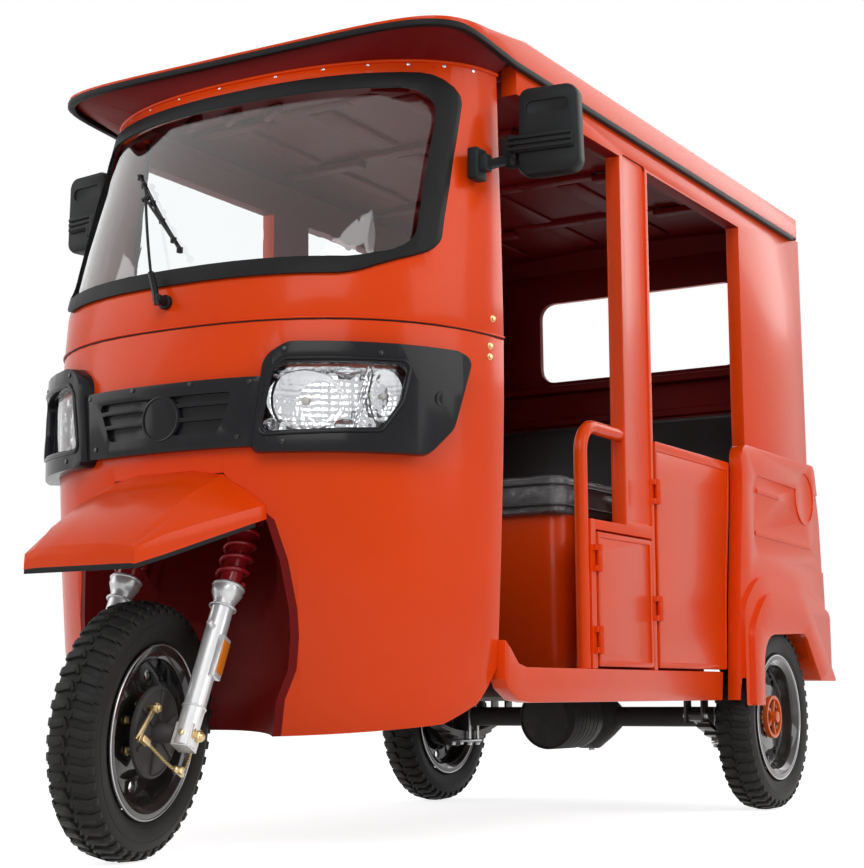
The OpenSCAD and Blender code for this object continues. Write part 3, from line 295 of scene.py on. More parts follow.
def merged_copy(node, name, bevel=0, angle=28, segments=2):
    """A closed, merged copy of a CAD node, with its sharp edges rounded."""
    deselect()
    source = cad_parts[node]
    piece = bpy.data.objects.new(name, source.data.copy())
    bpy.context.scene.collection.objects.link(piece)
    piece.data.name = name
    pick(piece)
    if piece.data.has_custom_normals:
        bpy.ops.mesh.customdata_custom_splitnormals_clear()
    bpy.ops.object.mode_set(mode="EDIT")
    bpy.ops.mesh.select_all(action="SELECT")
    bpy.ops.mesh.remove_doubles(threshold=0.00001)
    bpy.ops.mesh.tris_convert_to_quads(face_threshold=radians(4), shape_threshold=radians(60))
    bpy.ops.object.mode_set(mode="OBJECT")
    if bevel:
        modify(piece, "BEVEL", width=bevel * MM, segments=segments, limit_method="ANGLE",
               angle_limit=radians(angle), use_clamp_overlap=True)
    return piece


# Materials

class Shader:
    """Builds one material's nodes from left to right."""

    def __init__(self, name):
        self.material = bpy.data.materials.new(name)
        self.material.use_nodes = True
        self.nodes = self.material.node_tree.nodes
        self.links = self.material.node_tree.links
        self.surface = self.nodes["Principled BSDF"]
        self.place = self.add("ShaderNodeTexCoord").outputs["Object"]

    def add(self, kind, **settings):
        node = self.nodes.new(kind)
        for key, value in settings.items():
            setattr(node, key, value)
        return node

    def join(self, output, socket):
        self.links.new(output, socket)

    def put(self, **values):
        """Set plain numbers and colours on the surface's own sockets."""
        for key, value in values.items():
            self.surface.inputs[key.replace("_", " ")].default_value = value
        return self

    def group(self, tree, **values):
        node = self.add("ShaderNodeGroup")
        node.node_tree = tree
        for key, value in values.items():
            node.inputs[key].default_value = value
        if "Place" in node.inputs:
            self.join(self.place, node.inputs["Place"])
        return node

    def math(self, operation, a, b=0.0, c=None, clamp=False):
        node = self.add("ShaderNodeMath", operation=operation, use_clamp=clamp)
        for socket, value in zip(node.inputs, (a, b, c)):
            if value is None:
                continue
            if isinstance(value, (int, float)):
                socket.default_value = value
            else:
                self.join(value, socket)
        return node.outputs[0]

    def blend(self, mask, first, second):
        """Mix two colours, each a colour or a socket, by a mask."""
        node = self.add("ShaderNodeMix", data_type="RGBA")
        self.join(mask, node.inputs["Factor"])
        for socket, value in ((node.inputs[6], first), (node.inputs[7], second)):
            if isinstance(value, bpy.types.NodeSocket):
                self.join(value, socket)
            else:
                socket.default_value = (*value[:3], 1)
        return node.outputs[2]

    def span(self, value, low, high):
        """Map 0 to 1 onto a range of numbers."""
        node = self.add("ShaderNodeMapRange")
        self.join(value, node.inputs["Value"])
        node.inputs["To Min"].default_value = low
        node.inputs["To Max"].default_value = high
        return node.outputs[0]

    def bump(self, height, strength, distance):
        node = self.add("ShaderNodeBump")
        node.inputs["Strength"].default_value = strength
        node.inputs["Distance"].default_value = distance
        self.join(height, node.inputs["Height"])
        self.join(node.outputs["Normal"], self.surface.inputs["Normal"])
        return node


def tree(name, inputs, outputs):
    """An empty node group with named sockets."""
    made = bpy.data.node_groups.new(name, "ShaderNodeTree")
    for label, kind, default in inputs:
        socket = made.interface.new_socket(label, in_out="INPUT", socket_type=kind)
        if default is not None:
            socket.default_value = default
    for label, kind in outputs:
        made.interface.new_socket(label, in_out="OUTPUT", socket_type=kind)
    start, end = made.nodes.new("NodeGroupInput"), made.nodes.new("NodeGroupOutput")
    return made, start, end


def grain_group():
    """Fine moulded or sprayed grain: a height, and slow patches for colour and gloss."""
    made, start, end = tree("Surface Grain", [
        ("Place", "NodeSocketVector", None), ("Fine Scale", "NodeSocketFloat", 900.0),
        ("Patch Scale", "NodeSocketFloat", 5.0)],
        [("Height", "NodeSocketFloat"), ("Patches", "NodeSocketFloat")])
    fine, patch = made.nodes.new("ShaderNodeTexNoise"), made.nodes.new("ShaderNodeTexNoise")
    fine.inputs["Detail"].default_value = 2
    patch.inputs["Detail"].default_value = 4
    for node, scale in ((fine, "Fine Scale"), (patch, "Patch Scale")):
        made.links.new(start.outputs["Place"], node.inputs["Vector"])
        made.links.new(start.outputs[scale], node.inputs["Scale"])
    made.links.new(fine.outputs["Fac"], end.inputs["Height"])
    made.links.new(patch.outputs["Fac"], end.inputs["Patches"])
    return made


def dust_group():
    """Road dust: thicker towards the ground, broken by noise."""
    made, start, end = tree("Road Dust", [
        ("Place", "NodeSocketVector", None), ("Top", "NodeSocketFloat", 0.7),
        ("Amount", "NodeSocketFloat", 0.3)], [("Mask", "NodeSocketFloat")])
    add, link = made.nodes.new, made.links.new
    split = add("ShaderNodeSeparateXYZ")
    link(start.outputs["Place"], split.inputs[0])
    low = add("ShaderNodeMapRange")
    low.inputs["From Min"].default_value = 0
    low.inputs["To Min"].default_value = 1
    low.inputs["To Max"].default_value = 0
    link(split.outputs["Z"], low.inputs["Value"])
    link(start.outputs["Top"], low.inputs["From Max"])
    noise = add("ShaderNodeTexNoise")
    noise.inputs["Scale"].default_value = 14
    noise.inputs["Detail"].default_value = 6
    link(start.outputs["Place"], noise.inputs["Vector"])
    both = add("ShaderNodeMath")
    both.operation = "MULTIPLY"
    link(low.outputs[0], both.inputs[0])
    link(noise.outputs["Fac"], both.inputs[1])
    most = add("ShaderNodeMath")
    most.operation = "MULTIPLY"
    most.use_clamp = True
    link(both.outputs[0], most.inputs[0])
    link(start.outputs["Amount"], most.inputs[1])
    link(most.outputs[0], end.inputs["Mask"])
    return made


class Finishes:
    """The materials of the vehicle, made once by their first operator."""
    made = {}

    @classmethod
    def get(cls, name):
        if name not in cls.made:
            cls.made[name] = getattr(cls, name)()
        return cls.made[name]

    @classmethod
    def groups(cls):
        if "grain" not in cls.made:
            cls.made["grain"], cls.made["dust"] = grain_group(), dust_group()
        return cls.made["grain"], cls.made["dust"]

    @classmethod
    def coated(cls, name, colour, roughness=0.22, coat=0.7, dust=0.25, metallic=0.0,
               fine=700.0, peel=0.02, second=None):
        """Sprayed paint with slow colour drift, orange peel and a little dust low down."""
        grain, dusty = cls.groups()
        made = Shader(name)
        made.put(Metallic=metallic, Coat_Weight=coat, Coat_Roughness=0.05,
                 Specular_IOR_Level=0.5 if metallic else 0.13)
        spots = made.group(grain, **{"Fine Scale": fine, "Patch Scale": 3.0})
        drift = made.blend(spots.outputs["Patches"], [c * 0.9 for c in colour[:3]],
                           second or [min(1, c * 1.08) for c in colour[:3]])
        mask = made.group(dusty, Top=0.8, Amount=dust).outputs["Mask"]
        made.join(made.blend(mask, drift, (0.30, 0.24, 0.2)), made.surface.inputs["Base Color"])
        rough = made.math("MULTIPLY_ADD", spots.outputs["Patches"], 0.1, roughness - 0.04)
        made.join(made.math("MULTIPLY_ADD", mask, 0.5, rough), made.surface.inputs["Roughness"])
        made.bump(spots.outputs["Height"], peel * 4, 0.0004)
        return made.material

    @classmethod
    def moulded(cls, name, colour, roughness=0.4, fine=1600.0, strength=0.15, dust=0.15, coat=0.0):
        """Moulded plastic or rubber with a fine grain."""
        grain, dusty = cls.groups()
        made = Shader(name)
        made.put(Coat_Weight=coat * 0.3, Coat_Roughness=0.1, Specular_IOR_Level=0.12)
        spots = made.group(grain, **{"Fine Scale": fine, "Patch Scale": 9.0})
        drift = made.blend(spots.outputs["Patches"], [c * 0.8 for c in colour[:3]],
                           [c * 1.25 for c in colour[:3]])
        mask = made.group(dusty, Top=0.8, Amount=dust).outputs["Mask"]
        made.join(made.blend(mask, drift, (0.22, 0.2, 0.18)), made.surface.inputs["Base Color"])
        made.join(made.math("MULTIPLY_ADD", spots.outputs["Patches"], 0.16, roughness - 0.08),
                  made.surface.inputs["Roughness"])
        made.bump(spots.outputs["Height"], strength, 0.0003)
        return made.material

    @classmethod
    def orange(cls):
        return cls.coated("Orange Body Paint", look().orange, 0.24, 0.08, dust=0.03)

    # Maroon painted shade: a dark red that stands for the shade on the cab's floor
    @classmethod
    def maroon(cls):
        return cls.coated("Maroon Painted Shade Paint", look().maroon, 0.42, 0.2, dust=0.1, fine=400.0)

    # Dark red painted shade for the cab's inside, the wheel well and the visor's underside, in place of
    # the orange paint
    @classmethod
    def lining(cls):
        return cls.coated("Red Painted Shade Paint", look().lining, 0.5, 0.0, dust=0.03)

    @classmethod
    def mirror_black(cls):
        return cls.moulded("Satin Mirror Moulding", (0.014, 0.015, 0.016), 0.45, strength=0.06)

    @classmethod
    def mirror_glass(cls):
        return cls.coated("Mirror Silvering", (0.85, 0.86, 0.88), 0.05, 0.0, 0.0, 1.0, peel=0.0)

    @classmethod
    def bulb(cls):
        return cls.moulded("Frosted Bulb", (0.6, 0.58, 0.52), 0.15, strength=0.02, dust=0, coat=0.8)

    @classmethod
    def braid(cls):
        """Cable sheath braided from yellow wire."""
        grain, dusty = cls.groups()
        made = Shader("Braided Cable")
        made.put(Metallic=0.7)
        spots = made.group(grain, **{"Fine Scale": 200.0, "Patch Scale": 40.0})
        weave = made.add("ShaderNodeTexWave", bands_direction="Z")
        weave.inputs["Scale"].default_value = 90
        weave.inputs["Distortion"].default_value = 3
        made.join(made.place, weave.inputs["Vector"])
        made.join(made.blend(weave.outputs["Fac"], (0.10, 0.07, 0.03), (0.62, 0.46, 0.2)),
                  made.surface.inputs["Base Color"])
        made.join(made.span(spots.outputs["Patches"], 0.3, 0.55), made.surface.inputs["Roughness"])
        made.bump(weave.outputs["Fac"], 0.5, 0.0008)
        return made.material

    @classmethod
    def film(cls):
        """Loose clear film: see-through, with bright creases."""
        grain, dusty = cls.groups()
        made = Shader("Seat Film")
        made.put(Specular_IOR_Level=0.8)
        spots = made.group(grain, **{"Fine Scale": 26.0, "Patch Scale": 9.0})
        made.join(made.blend(spots.outputs["Patches"], (0.5, 0.5, 0.52), (0.8, 0.8, 0.82)),
                  made.surface.inputs["Base Color"])
        made.join(made.span(spots.outputs["Patches"], 0.06, 0.16), made.surface.inputs["Roughness"])
        creases = made.math("POWER", spots.outputs["Height"], 3.0)
        made.join(made.math("MULTIPLY_ADD", creases, 0.7, 0.1, clamp=True),
                  made.surface.inputs["Alpha"])
        made.bump(spots.outputs["Height"], 1.0, 0.02)
        return made.material

    @classmethod
    def black(cls):
        return cls.coated("Black Frame Paint", (0.012, 0.012, 0.014), 0.3, 0.5, dust=0.5)

    @classmethod
    def rim_black(cls):
        return cls.coated("Black Rim Enamel", (0.01, 0.01, 0.012), 0.16, 0.9, dust=0.2)

    @classmethod
    def casting(cls):
        return cls.moulded("Painted Casting", (0.03, 0.03, 0.033), 0.55, fine=300.0, strength=0.5,
                           dust=0.6)

    @classmethod
    def silver(cls):
        return cls.coated("Silver Leg Paint", (0.78, 0.79, 0.8), 0.28, 0.5, dust=0.05,
                          metallic=0.35)

    @classmethod
    def steel(cls):
        return cls.coated("Plain Steel", (0.55, 0.55, 0.56), 0.3, 0.0, dust=0.1, metallic=1.0)

    @classmethod
    def gold(cls):
        return cls.coated("Yellow Zinc", (0.72, 0.5, 0.2), 0.3, 0.0, dust=0.1, metallic=1.0,
                          second=(0.62, 0.52, 0.32))

    @classmethod
    def spring_red(cls):
        return cls.coated("Red Spring Enamel", (0.42, 0.012, 0.02), 0.25, 0.6, dust=0.15)

    @classmethod
    def rubber(cls):
        return cls.moulded("Black Rubber", (0.012, 0.012, 0.013), 0.5)

    @classmethod
    def plastic(cls):
        return cls.moulded("Black Moulding", (0.012, 0.012, 0.014), 0.24, fine=1200.0,
                           strength=0.04, coat=0.3)

    @classmethod
    def tyre(cls):
        return cls.moulded("Tyre Rubber", (0.012, 0.012, 0.012), 0.5, fine=500.0, strength=0.2,
                           dust=0.12)

    @classmethod
    def vinyl(cls):
        grain, dusty = cls.groups()
        made = Shader("Black Seat Vinyl")
        made.put(Coat_Weight=0.15, Coat_Roughness=0.3, Sheen_Weight=0.05)
        hide = made.add("ShaderNodeTexVoronoi", feature="DISTANCE_TO_EDGE")
        hide.inputs["Scale"].default_value = 420
        made.join(made.place, hide.inputs["Vector"])
        spots = made.group(grain, **{"Fine Scale": 300.0, "Patch Scale": 6.0})
        made.join(made.blend(spots.outputs["Patches"], (0.012, 0.012, 0.013), (0.03, 0.03, 0.032)),
                  made.surface.inputs["Base Color"])
        made.join(made.span(spots.outputs["Patches"], 0.28, 0.5), made.surface.inputs["Roughness"])
        made.bump(made.math("MULTIPLY_ADD", spots.outputs["Height"], 0.3,
                            made.math("MINIMUM", hide.outputs["Distance"], 0.2)), 0.35, 0.0008)
        return made.material

    @classmethod
    def clear(cls, name, tint, roughness=0.0, ripple=0.0):
        """Clear glass or lens plastic."""
        made = Shader(name)
        made.put(Transmission_Weight=1.0, IOR=1.45, Coat_Weight=0.0, Roughness=roughness)
        grain, dusty = cls.groups()
        spots = made.group(grain, **{"Fine Scale": 60.0, "Patch Scale": 4.0})
        made.join(made.blend(spots.outputs["Patches"], [c * 0.97 for c in tint], tint),
                  made.surface.inputs["Base Color"])
        made.bump(spots.outputs["Height"], 0.02 + ripple, 0.0005)
        return made.material

    @classmethod
    def glass(cls):
        return cls.clear("Windscreen Glass", (0.94, 0.97, 0.97))

    @classmethod
    def lens(cls):
        return cls.clear("Clear Lens", (0.98, 0.98, 0.98))

    @classmethod
    def amber(cls):
        made = cls.moulded("Amber Lens", (0.75, 0.2, 0.01), 0.12, fine=260.0, strength=0.4, coat=1.0)
        return made

    @classmethod
    def red_lens(cls):
        return cls.moulded("Red Lens", (0.42, 0.008, 0.006), 0.12, fine=260.0, strength=0.4,
                           coat=1.0)

    @classmethod
    def reflector(cls):
        """Bright reflector pressed in small facets."""
        grain, dusty = cls.groups()
        made = Shader("Faceted Reflector")
        made.put(Metallic=1.0)
        cells = made.add("ShaderNodeTexVoronoi", feature="F1")
        cells.inputs["Scale"].default_value = 75
        cells.inputs["Randomness"].default_value = 0.25
        made.join(made.place, cells.inputs["Vector"])
        spots = made.group(grain, **{"Fine Scale": 200.0, "Patch Scale": 12.0})
        made.join(made.blend(spots.outputs["Patches"], (0.4, 0.41, 0.43), (0.72, 0.73, 0.75)),
                  made.surface.inputs["Base Color"])
        made.join(made.span(spots.outputs["Patches"], 0.06, 0.2), made.surface.inputs["Roughness"])
        made.bump(cells.outputs["Distance"], 0.6, 0.004)
        return made.material

    @classmethod
    def orange_cap(cls):
        return cls.moulded("Orange Cap", (0.8, 0.13, 0.015), 0.2, strength=0.03, coat=0.6)


def look():
    return bpy.context.scene.rickshaw_look


class RickshawLook(bpy.types.PropertyGroup):
    """Colours and sizes of the finish"""
    orange: bpy.props.FloatVectorProperty(
        name="Body Orange", description="Colour of the body paint", subtype="COLOR",
        size=3, min=0, max=1, default=(0.82, 0.060, 0.002))
    # Painted shade: a dark red that stands for the shade on the floor inside the cab
    maroon: bpy.props.FloatVectorProperty(
        name="Painted Shade Maroon", description="Colour of the lining and the floor", subtype="COLOR",
        size=3, min=0, max=1, default=(0.10, 0.012, 0.008))
    # Painted shade: a dark red that stands for the shade inside the cab and under the visor
    lining: bpy.props.FloatVectorProperty(
        name="Painted Shade Red", description="Colour of the cab's inside and the visor's underside",
        subtype="COLOR", size=3, min=0, max=1, default=(0.17, 0.004, 0.003))
    edge: bpy.props.FloatProperty(
        name="Panel Edge", description="Rounding of the body panels' edges",
        unit="LENGTH", default=0.003, min=0.0005, max=0.008)


# Painted body panels: each row is a node, the share of the edge rounding and the material; the floor's
# maroon is painted shade
BODY_PANELS = [("cab_nose", 1, "orange"), ("cab_surround", 1, "orange"), ("wheel_well", 0, "orange"),
               ("front_mudguard", 0.6, "orange"), ("roof_panel", 1.6, "orange"),
               ("side_frames", 1, "orange"), ("side_sills", 1, "orange"),
               ("rear_quarters", 1, "orange"), ("rear_wall", 1, "orange"),
               ("grab_hoops", 0, "orange"), ("driver_seat_base", 1, "orange"),
               ("passenger_seat_base", 1, "orange"), ("floor_pan", 0.8, "maroon")]
# Panels whose inner faces carry the darker red painted shade instead of the orange paint
SHADE_PAINTED_PANELS = ("cab_nose", "cab_surround", "wheel_well", "roof_panel", "side_frames", "rear_wall",
         "front_mudguard")


def gets_painted_shade(at, way):
    """Whether a face looks into the body, or down under the visor and the roof, and so gets the dark red
    painted shade.
    """
    inward = way.dot(Vector((at.x, min(0, at.y + 450) + max(0, at.y - 1200), 0))) < -1
    return way.z < -0.03 and at.z > 1735 or inward and abs(at.x) < 572


class RICKSHAW_OT_body(bpy.types.Operator):
    """Paint the body panels and round their edges"""
    bl_idname = "rickshaw.body"
    bl_label = "Body Panels"

    def execute(self, context):
        for node, share, finish in BODY_PANELS:
            piece = merged_copy(node, node + "_panel", look().edge / MM * share)
            dress(piece, [Finishes.get(finish), Finishes.get("lining")],
                  stands_for=[node])
            # Inner faces, faces under the visor and the whole wheel well get the dark red painted shade
            if finish == "orange" and node in SHADE_PAINTED_PANELS:
                for face in piece.data.polygons:
                    if node == "wheel_well" or gets_painted_shade(face.center / MM, face.normal):
                        face.material_index = 1
        return {"FINISHED"}


class RICKSHAW_OT_doors(bpy.types.Operator):
    """Paint the doors"""
    bl_idname = "rickshaw.doors"
    bl_label = "Doors"

    def execute(self, context):
        for end in ("front", "rear"):
            for side in ("left", "right"):
                node = f"door_{end}_{side}"
                piece = merged_copy(node, node + "_panel", 2)
                dress(piece, Finishes.get("orange"), node, [node])
        return {"FINISHED"}


# Pieces kept as their CAD shapes with rounded edges: node, edge, body, slot, finish
KEPT = [("chassis_frame", 3, "root", "black_paint", "black"),
        ("windscreen_seal", 2, "root", "black_rubber", "rubber"),
        ("windscreen_glass", 0, "root", "clear_glass", "glass"),
        ("dash_panel", 3, "root", "black_plastic", "plastic"),
        ("grille_strip", 1.5, "root", "black_plastic", "plastic"),
        ("lamp_bezels", 4, "root", "black_plastic", "plastic"),
        ("lamp_lenses", 0, "root", "clear_lens", "lens"),
        ("gutter_trim", 2, "root", "black_rubber", "rubber"),
        ("door_seals", 0, "root", "black_rubber", "rubber"),
        ("tail_lamps", 4, "root", "red_lens", "red_lens"),
        ("rear_bumper", 2, "root", "black_paint", "black"),
        ("battery_pack", 6, "root", "black_plastic", "plastic"),
        ("rear_axle", 2, "root", "cast_casing", "casting"),
        ("leaf_springs", 0.8, "root", "black_paint", "black"),
        ("fork_legs", 2, "steering", "silver_paint", "silver"),
        ("fork_yokes", 2, "steering", "black_paint", "black"),
        ("handlebar", 1, "steering", "black_paint", "black"),
        ("front_rim", 1, "front_wheel", "black_paint", "rim_black")]


class RICKSHAW_OT_kept(bpy.types.Operator):
    """Finish the pieces that keep their CAD shape"""
    bl_idname = "rickshaw.kept"
    bl_label = "Frame And Fittings"

    def execute(self, context):
        rows = list(KEPT)
        for side in ("left", "right"):
            body = f"rear_wheel_{side}"
            rows += [(f"rear_rim_{side}", 1, body, "black_paint", "rim_black"),
                     (f"rear_cap_{side}", 1, body, "orange_cap", "orange_cap")]
        for node, edge, body, slot, finish in rows:
            piece = merged_copy(node, node + "_piece", edge)
            dress(piece, Finishes.get(finish), body, [node])
        return {"FINISHED"}


# Frames of the steered parts, as in the CAD: the fork's, and the hub's within it
FORK = (Matrix.Translation((0, -1.174161, 0.27)) @ Matrix.Rotation(radians(-24), 4, "X")
        @ Matrix.Rotation(radians(12), 4, "Z"))
HUB_ALONG = -14.123
HUB = FORK @ Matrix.Translation((0, -0.030, HUB_ALONG * MM))
LEG_Y, LEG_HALF, LEG_TOP, SPRING_TOP = -33, 125, 342, 572

# Plan of the cab at each height: height, half width, front, exponent, rear edge
CAB = ((230, 540, -1022, 2.4, -625), (330, 552, -1056, 2.4, -625), (450, 561, -1080, 2.4, -625),
       (650, 568, -1100, 2.4, -622), (850, 574, -1110, 2.4, -619), (1000, 576, -1110, 2.4, -616),
       (1140, 575, -1100, 2.4, -613), (1235, 572, -1090, 2.4, -610), (1400, 564, -1032, 2.35, -600),
       (1550, 555, -966, 2.35, -591), (1700, 546, -896, 2.3, -580), (1789, 541, -852, 2.3, -574))


def cab_row(z):
    for low, high in zip(CAB, CAB[1:]):
        if z <= high[0]:
            break
    t = (z - low[0]) / (high[0] - low[0])
    return [a + (b - a) * t for a, b in zip(low, high)]


def on_cab(x, z, off=0):
    """A point of the cab's front at a distance x from the middle."""
    row = cab_row(z)
    half, reach, n = row[1] + off, -550 - row[2] + off, row[3]
    return Vector((x, -550 - reach * max(0, 1 - abs(x / half) ** n) ** (1 / n), z))


def cab_facing(x, z):
    """The direction in which the cab faces there."""
    across = on_cab(x + 1, z) - on_cab(x - 1, z)
    above = on_cab(x, z + 1) - on_cab(x, z - 1)
    return across.cross(above).normalized()


def revolved(name, profile, steps=96, closed=True):
    """A profile of (radius, place along x) turned round the x axis."""
    deselect()
    bpy.ops.curve.primitive_bezier_curve_add()
    piece = named(name)
    piece.data.splines.clear()
    spline = piece.data.splines.new("POLY")
    spline.points.add(len(profile) - 1)
    for point, (r, x) in zip(spline.points, profile):
        point.co = (x * MM, 0, r * MM, 1)
    spline.use_cyclic_u = closed
    piece.data.dimensions = "3D"
    pick(piece)
    bpy.ops.object.convert(target="MESH")
    piece = bpy.context.object
    bpy.ops.object.transform_apply(location=True, rotation=True, scale=True)
    bpy.ops.object.mode_set(mode="EDIT")
    bpy.ops.mesh.select_all(action="SELECT")
    bpy.ops.mesh.spin(steps=steps, angle=2 * pi, center=(0, 0, 0), axis=(1, 0, 0))
    bpy.ops.object.mode_set(mode="OBJECT")
    return face_out(piece)


def placed(piece, matrix):
    """Move a piece's mesh by a matrix in metres."""
    settle(piece)
    piece.data.transform(matrix)
    if matrix.determinant() < 0:
        piece.data.flip_normals()
    return piece


def around(piece, name, count, first=0.0, axis="X"):
    """Copies of a shape evenly round an axis, as one piece."""
    copies = [copy_of(piece, f"{name}_{i}", Matrix.Rotation(first + 2 * pi * i / count, 4, axis))
              for i in range(count)]
    bpy.data.objects.remove(piece)
    return join(name, copies)


def hexagon(name, at, direction, radius, depth):
    """A hexagon nut or bolt head on its washer."""
    way = Vector(direction).normalized()
    washer = disc(name + "_washer", at, way, radius * 1.35, 1.6, 0.4, 24)
    head = disc(name, Vector(at) + way * 1.4, way, radius, depth, 0.8, 6)
    return join(name, [head, washer])


# Profile of the tyre: radius, place along the axle
TYRE = ((178, -37), (182, -43), (198, -50.5), (218, -55), (240, -53), (252, -47), (258, -38),
        (262, -20), (263, 0), (262, 20), (258, 38), (252, 47), (240, 53), (218, 55), (198, 50.5),
        (182, 43), (178, 37))


def tread(name, count=46):
    """Two rows of staggered blocks with a groove that zigzags between them."""
    rows = []
    for side in (-1, 1):
        lug = block("lug", (8, -12.5, 256), (44, 8.5, 269.6), 0)
        choose(lug, faces=lambda at, way: way.z > 0.9)
        bpy.ops.transform.resize(value=(0.93, 0.86, 1))
        deselect()
        for point in lug.data.vertices:
            x = point.co.x / MM
            if x > 30:
                point.co.z -= 0.0062
            point.co.y += 0.005 * (1 if x < 20 else -0.4)
        modify(lug, "BEVEL", width=0.0012, segments=1)
        shoulder = block("shoulder", (40, -9, 244), (52.6, 8, 262), 0)
        for point in shoulder.data.vertices:
            if point.co.z > 0.25 and point.co.x > 0.045:
                point.co.z -= 0.009
        modify(shoulder, "BEVEL", width=0.0012, segments=1)
        pair = join("lug_pair", [lug, shoulder])
        if side < 0:
            placed(pair, Matrix.Scale(-1, 4, (1, 0, 0)))
        rows.append(around(pair, f"lug_row_{side}", count, (side + 1) * pi / 2 / count))
    for side in (-1, 1):
        rib = block("rib", (2, -9, 258), (8, 9, 269.9), 0)
        for point in rib.data.vertices:
            point.co.x += 0.004 if point.co.y > 0 else -0.002
        modify(rib, "BEVEL", width=0.0008, segments=1)
        if side < 0:
            placed(rib, Matrix.Scale(-1, 4, (1, 0, 0)))
        rows.append(around(rib, f"rib_row_{side}", count, (side + 1) * pi / 2 / count))
    return join(name, rows)


def make_tyre(name, matrix, body, node):
    carcass = revolved(name, TYRE, 96)
    beads = [ring("bead", (x, 0, 0), (1, 0, 0), r, w, 96, 8) for x, r, w in
             ((50, 200, 1.6), (-50, 200, 1.6), (54, 226, 1.1), (-54, 226, 1.1))]
    piece = placed(join(name, [carcass, tread("tread"), *beads]), matrix)
    dress(piece, Finishes.get("tyre"), body, [node], angle=40)


class RICKSHAW_OT_tyres(bpy.types.Operator):
    """Make the three tyres with their tread"""
    bl_idname = "rickshaw.tyres"
    bl_label = "Tyres"

    def execute(self, context):
        make_tyre("front_tyre_treaded", HUB, "front_wheel", "front_tyre")
        for side, way in (("left", 1), ("right", -1)):
            make_tyre(f"rear_tyre_{side}_treaded", Matrix.Translation((way * 0.565, 1.007, 0.27)),
                      f"rear_wheel_{side}", f"rear_tyre_{side}")
        return {"FINISHED"}


class RICKSHAW_OT_wheel_fittings(bpy.types.Operator):
    """Add the rim flanges, the wheel bolts and the valves"""
    bl_idname = "rickshaw.wheel_fittings"
    bl_label = "Wheel Fittings"

    def execute(self, context):
        rear = [(f"rear_wheel_{side}", Matrix.Translation((way * 0.565, 1.007, 0.27))
                 @ (Matrix.Identity(4) if way > 0 else Matrix.Rotation(pi, 4, "Z")))
                for side, way in (("left", 1), ("right", -1))]
        for body, matrix in [("front_wheel", HUB), *rear]:
            lines = [ring("flange", (x, 0, 0), (1, 0, 0), 180.5, 1.4, 96, 8) for x in (51, -51)]
            dress(placed(join(body + "_flange_lines", lines), matrix), Finishes.get("steel"), body)
            stem = disc("stem", (12, 0, 150), (0.5, 0, -1), 4, 26, 1, 12)
            cap = disc("cap", (25, 0, 124), (0.5, 0, -1), 5, 12, 1, 12)
            dress(placed(join(body + "_valve", [stem, cap]), matrix), Finishes.get("rubber"), body)
            bolt = hexagon("bolt", (8 if body == "front_wheel" else 19, 0, 54), (1, 0, 0), 8, 8)
            bolts = around(bolt, body + "_bolts", 5, radians(18))
            dress(placed(bolts, matrix), Finishes.get("gold"), body)
        return {"FINISHED"}


class RICKSHAW_OT_springs(bpy.types.Operator):
    """Wind the two fork springs"""
    bl_idname = "rickshaw.springs"
    bl_label = "Fork Springs"

    def execute(self, context):
        turns, wire, radius = 7, 5, 37
        low = HUB_ALONG + LEG_TOP + 0.6 + wire
        rise = (SPRING_TOP - LEG_TOP - 1.2 - 2 * wire) / turns
        coils = []
        for side in (-1, 1):
            points = [(side * LEG_HALF + (radius - wire) * cos(2 * pi * k / 16),
                       LEG_Y + (radius - wire) * sin(2 * pi * k / 16), low + rise * k / 16)
                      for k in range(turns * 16 + 1)]
            coils.append(tube("coil", points, wire, sides=10, curve="POLY"))
            coils.append(disc("damper", (side * LEG_HALF, LEG_Y, low), (0, 0, 1), 24,
                              rise * turns, 1, 32))
        piece = placed(join("fork_spring_coils", coils), FORK)
        dress(piece, Finishes.get("spring_red"), "steering", ["fork_springs"], 60)
        return {"FINISHED"}


class RICKSHAW_OT_fork_fittings(bpy.types.Operator):
    """Add the fork's collars, lugs, axle nuts, reflectors and brake fittings"""
    bl_idname = "rickshaw.fork_fittings"
    bl_label = "Fork Fittings"

    def execute(self, context):
        silver, gold = [], []
        for side in (-1, 1):
            x = side * LEG_HALF
            for z, r in ((LEG_TOP - 52, 30), (LEG_TOP - 4, 36), (60, 26)):
                silver.append(ring("rib", (x, LEG_Y, HUB_ALONG + z), (0, 0, 1), r - 2, 2.6, 48, 8))
            silver.append(disc("lug", (x, LEG_Y - 18, HUB_ALONG + 236), (0, -1, 0.1), 9, 24, 2, 24,
                               top=6))
            gold.append(hexagon("nut", (x + side * 21, -30, HUB_ALONG), (side, 0, 0), 13, 11))
            gold.append(disc("end", (x + side * 30, -30, HUB_ALONG), (side, 0, 0), 8, 9, 1, 24))
            gold.append(hexagon("clamp", (x, LEG_Y - 21, HUB_ALONG - 4), (0, -1, 0), 7, 6))
        dress(placed(join("fork_collars", silver), FORK), Finishes.get("silver"), "steering")
        dress(placed(join("fork_nuts", gold), FORK), Finishes.get("gold"), "steering")
        plates = []
        for side in (-1, 1):
            x = side * (LEG_HALF + 32)
            plates.append(block("amber", (min(x, x + side * 3), LEG_Y - 14, HUB_ALONG + 140),
                                (max(x, x + side * 3), LEG_Y + 14, HUB_ALONG + 212), 1.2))
        dress(placed(join("fork_reflectors", plates), FORK), Finishes.get("amber"), "steering")
        return {"FINISHED"}


LAMP_TURN = radians(40)
LAMP_IN, LAMP_OUT, LAMP_Z, BEZEL_T = -533.2, -57.3, 966, 32
LAMP_WAY = Vector((sin(LAMP_TURN), -cos(LAMP_TURN), 0))


